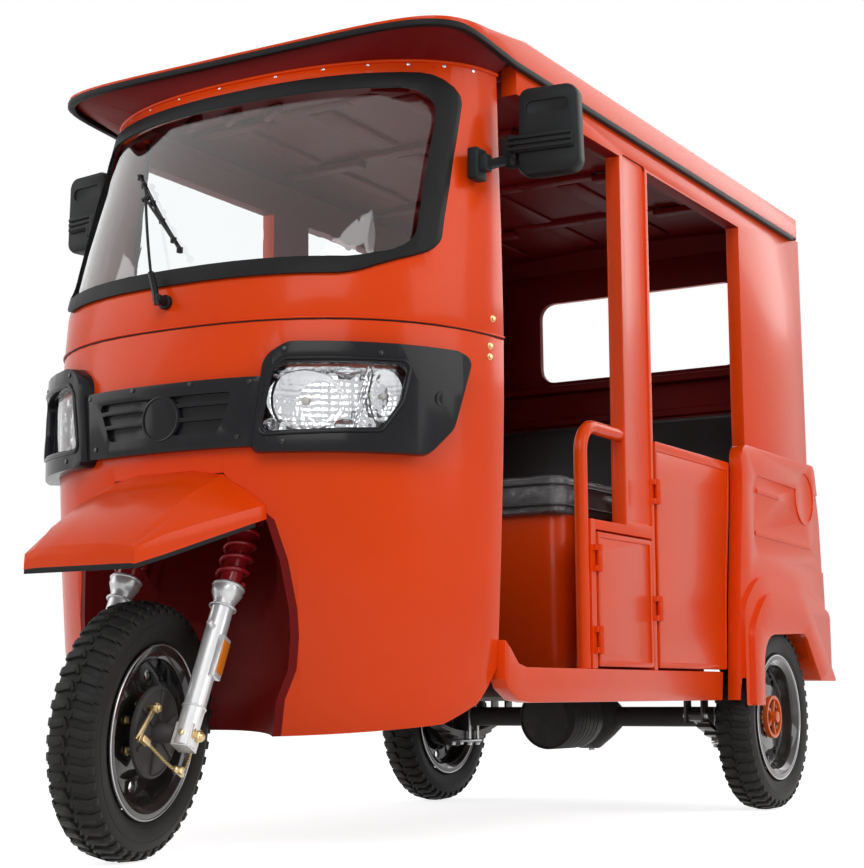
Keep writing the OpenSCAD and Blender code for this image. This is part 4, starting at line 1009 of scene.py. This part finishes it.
def cab_ring(z, off=0, steps=60):
    """Points round the cab at a height, from its left rear edge to the right one."""
    row = cab_row(z)
    half, reach, n = row[1] + off, -550 - row[2] + off, row[3]
    start = asin(((-550 - row[4]) / reach) ** (n / 2))
    points = []
    for i in range(steps + 1):
        a = start + (pi - 2 * start) * i / steps
        x = half * copysign(abs(cos(a)) ** (2 / n), cos(a))
        points.append((x, -550 - reach * sin(a) ** (2 / n), z))
    return points


def lamp_point(u, z, off):
    """The place on the cab, stood off, at a distance along the lamp's own plane."""
    low, high = 40.0, 574.0
    for step in range(30):
        x = (low + high) / 2
        at = on_cab(x, z, off)
        if at.x * cos(LAMP_TURN) + at.y * sin(LAMP_TURN) < u:
            low = x
        else:
            high = x
    return at


def lens_line(grow, off, steps=4):
    """The lens's outline on the cab, grown and stood off."""
    corners = ((LAMP_IN + 16 - grow, -74 - grow, 14), (LAMP_IN + 40 - grow, 56, 30),
               (LAMP_IN + 62, 74 + grow, 20), (LAMP_OUT - 146 + grow, 74 + grow, 18),
               (LAMP_OUT - 166 + grow, -10, 40), (LAMP_OUT - 206, -66 - grow, 20))
    line = rounded(corners, steps)
    dense = []
    for a, b in zip(line, line[1:] + line[:1]):
        count = max(1, int((Vector(b) - Vector(a)).length / 30))
        dense += [Vector(a).lerp(Vector(b), k / count) for k in range(count)]
    return [lamp_point(u, LAMP_Z + v, off) for u, v in dense]


def bowl(name, u, z, wide, tall, depth, off=-8):
    """A reflector bowl that faces out of the lamp."""
    rim = [(6 + 64 * k / 6, -depth * (1 - (k / 6) ** 2)) for k in range(7)]
    piece = revolved(name, rim + [(r, x - 1.5) for r, x in reversed(rim)], 28)
    across = Vector((cos(LAMP_TURN), sin(LAMP_TURN), 0))
    turn = Matrix((LAMP_WAY, across * (wide / 70), Vector((0, 0, tall / 70)))).transposed()
    return placed(piece, Matrix.Translation(lamp_point(u, z, off) * MM) @ turn.to_4x4())


class RICKSHAW_OT_lamps(bpy.types.Operator):
    """Fill the lamps with their bowls, bulbs and dividers, and trim their bezels"""
    bl_idname = "rickshaw.lamps"
    bl_label = "Lamps"

    def execute(self, context):
        back = merged_copy("lamp_reflectors", "reflector_backs")
        bowls = [bowl("beam", LAMP_IN + 112, LAMP_Z - 4, 84, 64, 15),
                 bowl("turn", LAMP_OUT - 196, LAMP_Z + 8, 42, 58, 15)]
        for u, v, wide, tall in ((LAMP_IN + 38, -52, 14, 12), (LAMP_IN + 200, 58, 22, 12),
                                 (LAMP_IN + 196, -56, 24, 12), (LAMP_IN + 62, 54, 20, 10)):
            bowls.append(bowl("facet", u, LAMP_Z + v, wide, tall, 8, -10))
        top, low = LAMP_OUT - 226, LAMP_OUT - 262
        for shift in (-5, 5):
            bowls.append(tube("divider", [lamp_point(top + shift, LAMP_Z + 70, -1),
                                          lamp_point((top + low) / 2 + shift, LAMP_Z, 0),
                                          lamp_point(low + shift, LAMP_Z - 70, -1)], 2.4))
        piece = join("lamp_bowls", [back, mirrored(join("bowls", bowls))])
        dress(piece, Finishes.get("reflector"), stands_for=["lamp_reflectors"],
              angle=20)
        bulbs = []
        for u, v, r in ((LAMP_IN + 112, -4, 10), (LAMP_OUT - 196, 8, 8)):
            at = lamp_point(u, LAMP_Z + v, -21)
            bulbs.append(disc("bulb", at, LAMP_WAY, r, 14, 4, 24, top=r * 0.8))
        dress(mirrored(join("lamp_bulbs", bulbs)), Finishes.get("bulb"))
        lips = [tube("lip", lens_line(7, BEZEL_T), 4.2, closed=True, sides=8, curve="POLY"),
                tube("inner_lip", lens_line(1.5, 14), 2.4, closed=True, sides=6, curve="POLY")]
        for x, z, r in ((550, 970, 15),):
            at, way = on_cab(x, z, BEZEL_T - 2), cab_facing(x, z)
            lips.append(ring("hole_edge", at, way, r, 2.4, 32, 8))
        dress(mirrored(join("bezel_lips", lips)), Finishes.get("plastic"))
        hole = disc("bezel_hole", on_cab(550, 970, BEZEL_T - 5), cab_facing(550, 970), 13, 4.4, 0, 32)
        dress(mirrored(hole), Finishes.get("rubber"))
        screws = []
        for x, z, off in ((222, 1002, 20), (196, 884, 20), (80, 1006, 20), (300, 868, 32),
                          (470, 1060, 32), (300, 1068, 32)):
            screws.append(disc("screw", on_cab(x, z, off - 0.5), cab_facing(x, z), 5.5, 2.2, 0.8, 20))
        for node, name in (("grille", "grille_screws"),):
            dress(mirrored(join(name, screws)), Finishes.get("black"))
        rim = [ring("disc_rim", on_cab(0, 936, 19), (0, -1, 0), 48, 2.6, 64, 8)]
        dress(join("grille_disc_rim", rim), Finishes.get("plastic"))
        return {"FINISHED"}


class RICKSHAW_OT_cab_trim(bpy.types.Operator):
    """Add the cab's seam, flange, screws and bolts"""
    bl_idname = "rickshaw.cab_trim"
    bl_label = "Cab Trim"

    def execute(self, context):
        lips = [tube("seam_lip", cab_ring(1143.5, 1.4), 2.4, sides=8, curve="POLY"),
                tube("flange_lip", cab_ring(1783, 2.2), 4.2, sides=8, curve="POLY")]
        dress(join("cab_lips", lips), Finishes.get("orange"))
        gaps = [tube("seam_gap", cab_ring(1139.6, 0.2), 1.5, sides=6, curve="POLY")]
        dress(join("cab_seam_gap", gaps), Finishes.get("rubber"))
        screws = []
        ring_at = cab_ring(1774, 0, 40)
        for i in range(3, 38, 3):
            at = Vector(ring_at[i])
            way = (Vector(ring_at[i - 1]) - Vector(ring_at[i + 1])).cross(Vector((0, 0, -1)))
            screws.append(disc("screw", at, way, 4.5, 2.5, 0.8, 16))
        dress(join("flange_screws", screws), Finishes.get("steel"))
        bolts = [hexagon("bolt", on_cab(569, z, 0), (1, -0.35, 0), 5.5, 5) for z in (1180, 1115, 1090)]
        dress(mirrored(join("cab_flange_bolts", bolts)), Finishes.get("gold"))
        return {"FINISHED"}


def screen_point(x, z, lift):
    return on_cab(x, z, lift)


class RICKSHAW_OT_wiper(bpy.types.Operator):
    """Make the wiper's arm, blade and clips"""
    bl_idname = "rickshaw.wiper"
    bl_label = "Wiper"

    def execute(self, context):
        foot = on_cab(-16, 1203, 0)
        way = cab_facing(-16, 1203)
        knee, bend = foot + way * 34, on_cab(-49, 1272, 34)
        elbow = on_cab(-148, 1478, 24)
        pieces = [disc("base", foot, way, 17, 12, 3, 32), disc("hub", foot, way, 11, 38, 2, 24),
                  tube("arm_root", [knee - Vector((0, 0, 14)), knee, bend], 7.5, sides=10),
                  tube("arm", [bend, on_cab(-99, 1376, 30), elbow], 3.4, sides=8),
                  disc("pivot", elbow - Vector((9, 0, 0)), (1, 0, 0.2), 6, 18, 1, 20)]
        line = [on_cab(-209 + 210 * k / 8, 1553 - 227 * k / 8, 15) for k in range(9)]
        pieces.append(tube("spine", line, 2.8, sides=8))
        lower = [on_cab(-209 + 210 * k / 8, 1553 - 227 * k / 8, 6.5) for k in range(9)]
        pieces.append(tube("rubber", lower, 1.4, sides=6, tall=5))
        bridge = [line[1], on_cab(-159, 1499, 22), elbow, on_cab(-83, 1417, 22), line[7]]
        pieces.append(tube("bridge", bridge, 3.2, sides=8))
        for k in (0, 1, 3, 5, 7, 8):
            at = line[k]
            pieces.append(block("clip", at - Vector((5, 5, 7)), at + Vector((5, 7, 7)), 1))
        dress(join("wiper_set", pieces), Finishes.get("plastic"),
              stands_for=["wiper"])
        return {"FINISHED"}


class RICKSHAW_OT_mirrors(bpy.types.Operator):
    """Make the mirrors with their heads, straps and arms"""
    bl_idname = "rickshaw.mirrors"
    bl_label = "Mirrors"

    def execute(self, context):
        x, y, z = 688, -585, 1620
        head = sheet_metal("head", rounded([(x - 76, z - 104, 26), (x + 76, z - 104, 30),
                                            (x + 70, z + 104, 30), (x - 72, z + 104, 26)], 6),
                           "y", y, 46, 9)
        slot = sheet_metal("slot", rounded([(x - 52, z + 38, 15), (x + 50, z + 38, 15),
                                            (x + 50, z + 70, 15), (x - 52, z + 70, 15)], 6),
                           "y", y - 23, 9, 2)
        pick(head)
        bpy.ops.object.modifier_add(type="BOOLEAN")
        head.modifiers[-1].operation = "DIFFERENCE"
        head.modifiers[-1].object = slot
        bpy.ops.object.modifier_apply(modifier=head.modifiers[-1].name)
        bpy.data.objects.remove(slot)
        band = block("band", (x - 84, y - 30, z - 50), (x + 62, y - 20, z - 8), 3, 3)
        ribs = [block("rib", (x - 96, y - 35, z - 47 + 13.5 * k), (x + 58, y - 27, z - 38 + 13.5 * k),
                      2.5, 3) for k in range(3)]
        joint = [disc("pivot", (x - 94, y - 14, z - 76), (0, 0, 1), 17, 74, 4, 32),
                 block("knuckle", (x - 118, y - 32, z - 62), (x - 76, y + 10, z - 6), 7, 4),
                 tube("arm", [(x - 100, y - 20, z - 56), (x - 116, y - 70, z - 80),
                              (x - 122, y - 110, z - 90)], 12, sides=16)]
        foot = [block("foot", (546, -730, 1492), (574, -682, 1566), 6, 3),
                block("foot_cap", (556, -722, 1510), (592, -690, 1550), 6, 3)]
        turn = Matrix.Translation(Vector((x, y, z)) * MM) @ Matrix.Rotation(
            radians(8), 4, "Z") @ Matrix.Translation(-Vector((x, y, z)) * MM)
        shell = placed(join("mirror_shell", [head, band, *ribs]), turn)
        piece = mirrored(join("mirror_set", [shell, *joint, *foot]))
        dress(piece, Finishes.get("mirror_black"), stands_for=["mirrors"])
        glass = sheet_metal("mirror_glasses", rounded([(x - 66, z - 94, 20), (x + 66, z - 94, 22),
                                                       (x + 60, z + 94, 22), (x - 62, z + 94, 20)], 6),
                            "y", y + 22.6, 2.4, 0.6)
        placed(glass, turn)
        dress(mirrored(glass), Finishes.get("mirror_glass"))
        return {"FINISHED"}


GUARD = ((-1382, 149, 600), (-1310, 172, 624), (-1210, 203, 660), (-1100, 237, 699))


def cab_patch(name, low, high, finish):
    """A sheet that lies on the cab's front between two (x, z) corners."""
    deselect()
    bpy.ops.mesh.primitive_grid_add(x_subdivisions=36, y_subdivisions=10, size=1)
    piece = named(name)
    for point in piece.data.vertices:
        x = low[0] + (high[0] - low[0]) * (point.co.x + 0.5)
        z = low[1] + (high[1] - low[1]) * (point.co.y + 0.5)
        point.co = on_cab(x, z, 0.2) * MM
    modify(piece, "SOLIDIFY", thickness=0.003, offset=-1)
    dress(face_out(piece), Finishes.get(finish))


class RICKSHAW_OT_guard_strip(bpy.types.Operator):
    """Edge the front mudguard with its rubber strip"""
    bl_idname = "rickshaw.guard_strip"
    bl_label = "Mudguard Strip"

    def execute(self, context):
        left = [(w - 2, y + (0 if k else 2), low - 3) for k, (y, w, low) in enumerate(GUARD)]
        line = [(-x, y, z) for x, y, z in reversed(left)]
        front = [(-100, -1380.4, 597), (0, -1380.4, 597), (100, -1380.4, 597)]
        piece = tube("mudguard_strip", line + front + left, 1.8, sides=6, tall=9, curve="POLY")
        dress(piece, Finishes.get("rubber"))
        cab_patch("nose_over_mudguard", (-150, 812), (150, 900), "orange")
        return {"FINISHED"}


def door_frames(name, outline, inner, body, side):
    """A thin raised border on a door's outer face."""
    piece = sheet_metal(name, [outline, inner], "x", 577.2 * side, 3.4, 0.9)
    dress(piece, Finishes.get("orange"), body)


FRONT_DOOR = ((-144, 406), (185, 406), (185, 736), (-144, 736))
REAR_DOOR = ((221, 406), (696, 406), (702, 500), (708, 600), (722, 720), (740, 840), (750, 930),
             (754, 1005), (221, 1005))


def inset(points, edge, top=None):
    """A door outline drawn in, about its middle."""
    low = Vector([min(p[i] for p in points) for i in (0, 1)])
    high = Vector([max(p[i] for p in points) for i in (0, 1)])
    result = []
    for u, v in points:
        u += edge if u < (low.x + high.x) / 2 else -edge
        v += edge if v < low.y + edge else (-(top or edge) if v > high.y - (top or edge) else 0)
        result.append((u, v))
    return result


class RICKSHAW_OT_door_details(bpy.types.Operator):
    """Raise the doors' borders and add their hinge leaves and inner stiffeners"""
    bl_idname = "rickshaw.door_details"
    bl_label = "Door Details"

    def execute(self, context):
        for side, name in ((1, "left"), (-1, "right")):
            for end, outline, top in (("front", FRONT_DOOR, None), ("rear", REAR_DOOR, 26)):
                body = f"door_{end}_{name}"
                edge = inset(outline, 1.5)
                door_frames(body + "_border", edge, inset(outline, 13, top), body, side)
                y0 = outline[0][0]
                zs = (470, 670) if end == "front" else (560, 868)
                leaves = []
                for z in zs:
                    low, high = (573, y0 + 2, z - 17), (579.6, y0 + 27, z + 17)
                    if side < 0:
                        low, high = (-high[0], low[1], low[2]), (-low[0], high[1], high[2])
                    leaves.append(block("leaf", low, high, 1))
                    for dz in (-10, 10):
                        leaves.append(disc("rivet", (579 * side, y0 + 20, z + dz), (side, 0, 0),
                                           3, 2, 0.8, 12))
                dress(join(body + "_leaves", leaves), Finishes.get("orange"), body)
                inside = []
                y1 = outline[1][0]
                for z in (outline[0][1] + 60, outline[2][1] - 60) if end == "front" else (480, 700, 930):
                    low, high = (541, y0 + 30, z - 16), (551, y1 - 30, z + 16)
                    if side < 0:
                        low, high = (-high[0], low[1], low[2]), (-low[0], high[1], high[2])
                    inside.append(block("stiffener", low, high, 3))
                dress(join(body + "_stiffeners", inside), Finishes.get("orange"), body)
        return {"FINISHED"}


def ceiling(x, y):
    """Height of the roof's inner surface."""
    return 1839 + 42 * (1 - (abs(x) / 700) ** 2.2)


class RICKSHAW_OT_lining(bpy.types.Operator):
    """Press the ribs of the ceiling, the walls and the floor"""
    bl_idname = "rickshaw.lining"
    bl_label = "Lining"

    def execute(self, context):
        ribs = []
        for x in (-390, -130, 130, 390):
            for y0, y1 in ((-330, 20), (120, 520), (620, 980), (1060, 1330)):
                z = ceiling(x, 0)
                ribs.append(block("rib", (x - 34, y0, z - 9), (x + 34, y1, z + 3), 5, 3))
        for y in (-380, 70, 570, 1020):
            for x0, x1 in ((-500, -250), (-250, 0), (0, 250), (250, 500)):
                z = min(ceiling(x0, 0), ceiling(x1, 0))
                ribs.append(block("bow", (x0, y - 22, z - 12), (x1, y + 22, z + 8), 5, 3))
        for side in (-1, 1):
            for k in range(3):
                x, y = side * (180 + 110 * k), -470 - 26 * k
                bar = block("diagonal", (x - 50, y - 11, ceiling(x, y) - 44),
                            (x + 50, y + 11, ceiling(x, y) - 16), 4, 3)
                middle = Vector((x, y, 0)) * MM
                placed(bar, Matrix.Translation(middle) @ Matrix.Rotation(side * 0.6, 4, "Z")
                       @ Matrix.Translation(-middle))
                ribs.append(bar)
        # The ceiling's ribs carry the dark red painted shade
        dress(join("ceiling_ribs", ribs), Finishes.get("lining"))
        wall = [block("ledge", (-520, 1380, 1378), (520, 1432, 1404), 5, 3)]
        for z in (1280, 1130, 980):
            wall.append(block("rib", (-500, 1412, z - 14), (500, 1430, z + 14), 5, 3))
        # The rear wall's inner ribs carry the dark red painted shade
        dress(join("rear_wall_ribs", wall), Finishes.get("lining"))
        outer = []
        for z in (1340, 1240, 1140, 700, 560):
            y = 1451 - max(0, z - 1060) * 12 / 753
            outer.append(block("rib", (-380, y - 4, z - 12), (380, y + 3.2, z + 12), 3, 3))
        dress(join("rear_wall_swages", outer), Finishes.get("orange"))
        # The floor's ribs carry the maroon painted shade
        mat = [block("rib", (x - 9, -560, 398), (x + 9, -60, 404), 2) for x in range(-400, 401, 50)
               if abs(x) > 190]
        mat += [block("rib", (x - 9, 350, 398), (x + 9, 600, 404), 2) for x in range(-500, 501, 50)]
        dress(join("floor_ribs", mat), Finishes.get("maroon"))
        return {"FINISHED"}


class RICKSHAW_OT_controls(bpy.types.Operator):
    """Dress the handlebar with grips, levers and switches"""
    bl_idname = "rickshaw.controls"
    bl_label = "Controls"

    def execute(self, context):
        z = 950.1
        grips, metal, boxes = [], [], []
        for side in (-1, 1):
            a, b = Vector((side * 205, 42, z)), Vector((side * 302, 80.8, z + 0.2))
            way = (b - a).normalized()
            grips.append(disc("grip", a, way, 17.6, (b - a).length, 3, 32))
            for k in range(1, 12):
                grips.append(ring("ridge", a + way * (8.2 * k), way, 17.2, 1.6, 32, 6))
            metal.append(tube("lever", [a - way * 14 + Vector((0, -20, 2)), a + Vector((0, -44, 2)),
                                        b + Vector((0, -34, 2)), b + way * 6 + Vector((0, -28, 2))],
                              5, sides=10))
            metal.append(disc("bar_end", b - way, way, 14, 8, 2, 24))
            boxes.append(block("switches", a - way * 34 - Vector((14, 20, 16)),
                               a - way * 34 + Vector((14, 20, 16)), 5, 3))
        for name, pieces, finish, slot in (("bar_grips", grips, "rubber", "black_rubber"),
                                           ("bar_levers", metal, "steel", "silver_paint"),
                                           ("bar_switches", boxes, "plastic", "black_plastic")):
            dress(placed(join(name, pieces), FORK), Finishes.get(finish), "steering")
        face = block("gauge_face", (-78, -931.5, 1148), (78, -928.6, 1186), 1)
        dress(face, Finishes.get("plastic"))
        return {"FINISHED"}


BRAKE_CABLE = ((82, -92, -50), (88, 20, -58), (92, 70, -54), (92, 94, -30), (92, 96, 30),
               (92, 82, 180), (92, 60, 330), (84, 34, 500), (78, 10, 570))


def smooth_line(points, steps):
    """Points along the smooth curve that passes through the given ones."""
    ends = [points[0] * 2 - points[1], *points, points[-1] * 2 - points[-2]]
    line = []
    for a, b, c, d in zip(ends, ends[1:], ends[2:], ends[3:]):
        for k in range(steps):
            t = k / steps
            line.append((b * 2 + (c - a) * t + (a * 2 - b * 5 + c * 4 - d) * t * t
                         + (b * 3 - a - c * 3 + d) * t ** 3) / 2)
    return [*line, points[-1]]


class RICKSHAW_OT_brake(bpy.types.Operator):
    """Make the front brake's plate, lever, clevis and cable"""
    bl_idname = "rickshaw.brake"
    bl_label = "Front Brake"

    def execute(self, context):
        plate = [disc("plate", (44, 0, 0), (1, 0, 0), 96, 10, 2, 64),
                 ring("edge", (54, 0, 0), (1, 0, 0), 90, 2.4, 64, 8),
                 disc("boss", (53, 0, 0), (1, 0, 0), 24, 47, 2, 32, top=18)]
        for k in range(6):
            rib = block("rib", (53, -4, 26), (59, 4, 86), 1.5)
            plate.append(placed(rib, Matrix.Rotation(2 * pi * k / 6 + 0.3, 4, "X")))
        dress(placed(join("brake_plate", plate), HUB), Finishes.get("casting"), "steering",
              ["front_brake"])
        spindle = [disc("spindle", (-163, 0, 0), (1, 0, 0), 9, 326, 1, 24),
                   disc("pivot", (53, -62, 30), (1, 0, 0), 8, 24, 1, 20)]
        turn = (Matrix.Translation(Vector((66, -62, 30)) * MM) @ Matrix.Rotation(radians(160), 4, "X"))
        lever = placed(block("lever", (0, -7.5, -10), (5, 7.5, 90), 2), turn)
        clevis = [disc("pin", (62, -92, -50), (1, 0, 0), 5, 24, 1, 20),
                  block("fork_end", (76, -102, -58), (80, -70, -44), 1),
                  block("fork_end", (84, -102, -58), (88, -70, -44), 1),
                  block("stop", (80, 60, -62), (104, 72, -46), 2),
                  disc("adjuster", (92, 48, -56), (0, 1, 0), 7, 40, 1, 6),
                  hexagon("nut", (75, -62, 30), (1, 0, 0), 8, 6)]
        dress(placed(join("brake_lever", [*spindle, lever, *clevis]), HUB), Finishes.get("gold"),
              "steering")
        route = smooth_line([Vector(point) for point in BRAKE_CABLE], 5)
        cable = placed(tube("brake_cable", route, 3.8, sides=10, curve="POLY"), HUB)
        dress(cable, Finishes.get("braid"), "steering")
        return {"FINISHED"}


class RICKSHAW_OT_underside(bpy.types.Operator):
    """Add the axle's bolts, fins and spring clamps, and the tail lamps' cells"""
    bl_idname = "rickshaw.underside"
    bl_label = "Underside"

    def execute(self, context):
        axle = Vector((0, 1007, 270))
        cast, steel = [], []
        for k in range(7):
            cast.append(ring("fin", axle + Vector((0, -300 + 26 * k, 0)), (0, 1, 0), 90, 3.5, 56, 8))
        for k in range(8):
            a = 2 * pi * k / 8
            at = axle + Vector((-90, 88 * cos(a), 88 * sin(a)))
            steel.append(hexagon("bolt", axle + Vector((98, 0, 0)) * 0 + Vector(
                (64 * cos(a), -300, 64 * sin(a))), (0, -1, 0), 6, 6))
        steel.append(hexagon("drain", axle + Vector((0, 0, -96)), (0, 0, -1), 9, 7))
        for side in (-1, 1):
            for dy in (-26, 26):
                for dx in (-31, 31):
                    at = Vector((side * 455 + dx, 1007 + dy, 186))
                    steel.append(disc("u_bolt", at, (0, 0, 1), 5, 112, 0.6, 12))
                    steel.append(hexagon("nut", at + Vector((0, 0, 2)), (0, 0, -1), 8, 8))
            steel.append(block("clamp", (side * 455 - 40, 966, 190), (side * 455 + 40, 1048, 196), 1.5))
            for dy in (-250, 250):
                for dx in (-1, 1):
                    steel.append(hexagon("pin_nut", (side * 455 + dx * 29, 1007 + dy, 277),
                                         (dx, 0, 0), 9, 7))
            steel.append(ring("drum_edge", (side * 487, 1007, 270), (1, 0, 0), 92, 2.5, 56, 8))
        dress(join("motor_fins", cast), Finishes.get("casting"))
        dress(join("axle_bolts", steel), Finishes.get("steel"))
        lamp = []
        for side in (-1, 1):
            for z0, z1 in ((770, 838), (846, 914), (922, 990)):
                low, high = (408, 1470, z0), (502, 1474.5, z1)
                if side < 0:
                    low, high = (-502, 1470, z0), (-408, 1474.5, z1)
                lamp.append(block("cell", low, high, 2, 3))
        dress(join("tail_cells", lamp), Finishes.get("red_lens"))
        return {"FINISHED"}


def seat_pad(node, name, cap, corner, fill=0.7):
    """A stuffed block in the CAD pad's shape, remeshed and blown up by cloth pressure."""
    pad = merged_copy(node, name, corner, segments=3)
    modify(pad, "DISPLACE", strength=-cap * 0.6 * MM, mid_level=0)
    pick(pad)
    pad.data.remesh_voxel_size = 0.0058
    bpy.ops.object.voxel_remesh()
    start = [point.co.copy() for point in pad.data.vertices]
    pick(pad)
    bpy.ops.object.modifier_add(type="CLOTH")
    cloth = pad.modifiers[-1]
    cloth.settings.use_pressure = True
    cloth.settings.uniform_pressure_force = 4
    cloth.settings.effector_weights.gravity = 0
    cloth.settings.bending_stiffness = 0.6
    cloth.point_cache.frame_end = 20
    for step in range(1, 21):
        bpy.context.scene.frame_set(step)
    pick(pad)
    bpy.ops.object.modifier_apply(modifier=cloth.name)
    bpy.context.scene.frame_set(1)
    for point, first in zip(pad.data.vertices, start):
        move = point.co - first
        if move.length > cap * MM:
            point.co = first + move * (cap * MM / move.length)
    modify(pad, "CORRECTIVE_SMOOTH", iterations=6, smooth_type="LENGTH_WEIGHTED")
    return pad


class RICKSHAW_OT_seats(bpy.types.Operator):
    """Stuff the seats, pipe their seams and wrap the driver's one in film"""
    bl_idname = "rickshaw.seats"
    bl_label = "Seats"

    def execute(self, context):
        for node, cap, corner in (("driver_seat_cushion", 6, 24), ("passenger_seat_cushion", 7, 26),
                                  ("passenger_seat_back", 7, 26)):
            pad = seat_pad(node, node + "_pad", cap, corner)
            if node == "driver_seat_cushion":
                film = copy_of(pad, "seat_film", Matrix.Identity(4))
            dress(pad, Finishes.get("vinyl"), stands_for=[node], angle=80)
        crumple = bpy.data.textures.new("Film Creases", "CLOUDS")
        crumple.noise_scale = 0.055
        modify(film, "DECIMATE", ratio=0.35)
        modify(film, "DISPLACE", strength=0.0035, mid_level=0)
        modify(film, "DISPLACE", texture=crumple, strength=0.007, mid_level=0.4,
               texture_coords="OBJECT")
        dress(film, Finishes.get("film"), angle=80)
        seams = []
        for (x0, y0, x1, y1, r), z in (((-432, -48, 432, 328, 46), 876), ((-432, -48, 432, 328, 46), 822),
                                       ((-520, 604, 520, 1086, 36), 824)):
            line = rounded([(x0, y0, r), (x1, y0, r), (x1, y1, r), (x0, y1, r)], 6)
            seams.append(tube("piping", [(*p, z) for p in line], 3, closed=True, curve="POLY"))
        dress(join("seat_piping", seams), Finishes.get("vinyl"))
        return {"FINISHED"}


class RICKSHAW_OT_stage(bpy.types.Operator):
    """Set up the floor, the lights, the world and the camera"""
    bl_idname = "rickshaw.stage"
    bl_label = "Stage"

    def execute(self, context):
        deselect()
        bpy.ops.mesh.primitive_plane_add(size=60, location=(0, 0, -0.0005))
        floor = named("studio_floor")
        made = Shader("Pale Floor")
        grain, dusty = Finishes.groups()
        spots = made.group(grain, **{"Fine Scale": 30.0, "Patch Scale": 0.5})
        made.join(made.blend(spots.outputs["Patches"], (0.86, 0.86, 0.86), (0.9, 0.9, 0.9)),
                  made.surface.inputs["Base Color"])
        made.put(Roughness=0.9, Specular_IOR_Level=0.1, Emission_Strength=1.0)
        ray = made.add("ShaderNodeLightPath")
        seen = made.math("MAXIMUM", ray.outputs["Is Camera Ray"], ray.outputs["Is Transmission Ray"])
        seen = made.math("MAXIMUM", seen, ray.outputs["Is Glossy Ray"])
        made.join(made.blend(seen, (0, 0, 0), (0.8, 0.8, 0.8)),
                  made.surface.inputs["Emission Color"])
        floor.data.materials.append(made.material)
        for name, at, target, size, power in (
                ("key_light", (2.6, -6.0, 4.6), (0, 0, 0.9), 4.0, 180),
                ("left_light", (-6.0, -4.0, 3.5), (0, 0, 0.9), 4.5, 110),
                ("right_light", (7.0, 0.5, 3.6), (0, 0, 1.1), 4.5, 170),
                ("back_light", (3.0, 6.5, 4.7), (0, 0, 1.6), 4.0, 110)):
            bpy.ops.object.light_add(type="AREA", location=at)
            lamp = named(name)
            lamp.rotation_euler = (Vector(target) - Vector(at)).to_track_quat("-Z", "Y").to_euler()
            lamp.data.size = size
            lamp.data.energy = power
        world = bpy.data.worlds.new("Studio World")
        context.scene.world = world
        world.use_nodes = True
        nodes, links = world.node_tree.nodes, world.node_tree.links
        ray = nodes.new("ShaderNodeLightPath")
        most = nodes.new("ShaderNodeMath")
        most.operation = "MAXIMUM"
        links.new(ray.outputs["Is Camera Ray"], most.inputs[0])
        links.new(ray.outputs["Is Transmission Ray"], most.inputs[1])
        span = nodes.new("ShaderNodeMapRange")
        span.inputs["To Min"].default_value = 0.2
        span.inputs["To Max"].default_value = 1.0
        shine = nodes.new("ShaderNodeMath")
        shine.operation = "MAXIMUM"
        links.new(most.outputs[0], shine.inputs[0])
        links.new(ray.outputs["Is Glossy Ray"], shine.inputs[1])
        links.new(shine.outputs[0], span.inputs["Value"])
        links.new(span.outputs[0], nodes["Background"].inputs["Strength"])
        nodes["Background"].inputs["Color"].default_value = (1, 1, 1, 1)
        context.scene.view_settings.view_transform = "Standard"
        self.camera(context)
        return {"FINISHED"}

    def camera(self, context):
        yaw, pitch, roll = radians(30.5863), radians(8.2719), radians(-0.294)
        ahead = Vector((-sin(yaw) * cos(pitch), cos(yaw) * cos(pitch), sin(pitch)))
        right = Vector((cos(yaw), sin(yaw), 0))
        up = right.cross(ahead)
        across = right * cos(roll) + up * sin(roll)
        above = up * cos(roll) - right * sin(roll)
        bpy.ops.object.camera_add(location=(2.4835, -4.1673, 0.3364))
        camera = named("photo_camera")
        camera.matrix_world = Matrix.Translation(camera.location) @ Matrix(
            (across, above, -ahead)).transposed().to_4x4()
        camera.data.lens = 1801.5 / 868 * 36
        camera.data.sensor_width = 36
        camera.data.clip_end = 200
        context.scene.camera = camera


OPERATORS = (RICKSHAW_OT_stage, RICKSHAW_OT_body, RICKSHAW_OT_doors, RICKSHAW_OT_kept,
             RICKSHAW_OT_tyres, RICKSHAW_OT_wheel_fittings, RICKSHAW_OT_springs,
             RICKSHAW_OT_fork_fittings, RICKSHAW_OT_lamps, RICKSHAW_OT_cab_trim,
             RICKSHAW_OT_wiper, RICKSHAW_OT_mirrors, RICKSHAW_OT_guard_strip,
             RICKSHAW_OT_door_details, RICKSHAW_OT_lining, RICKSHAW_OT_controls,
             RICKSHAW_OT_brake, RICKSHAW_OT_underside, RICKSHAW_OT_seats)


class RICKSHAW_PT_tools(bpy.types.Panel):
    """The rickshaw's pieces, in the order in which they are made"""
    bl_label = "Rickshaw"
    bl_idname = "RICKSHAW_PT_tools"
    bl_space_type = "VIEW_3D"
    bl_region_type = "UI"
    bl_category = "Rickshaw"

    def draw(self, context):
        for name in RickshawLook.__annotations__:
            self.layout.prop(context.scene.rickshaw_look, name)
        for operator in OPERATORS:
            self.layout.operator(operator.bl_idname)


CLASSES = (RickshawLook, *OPERATORS, RICKSHAW_PT_tools)


def register():
    for item in CLASSES:
        bpy.utils.register_class(item)
    bpy.types.Scene.rickshaw_look = bpy.props.PointerProperty(type=RickshawLook)


def unregister():
    del bpy.types.Scene.rickshaw_look
    for item in reversed(CLASSES):
        bpy.utils.unregister_class(item)


def main():
    register()
    for operator in OPERATORS:
        group, action = operator.bl_idname.split(".")
        getattr(getattr(bpy.ops, group), action)()


if __name__ == "__main__":
    main()
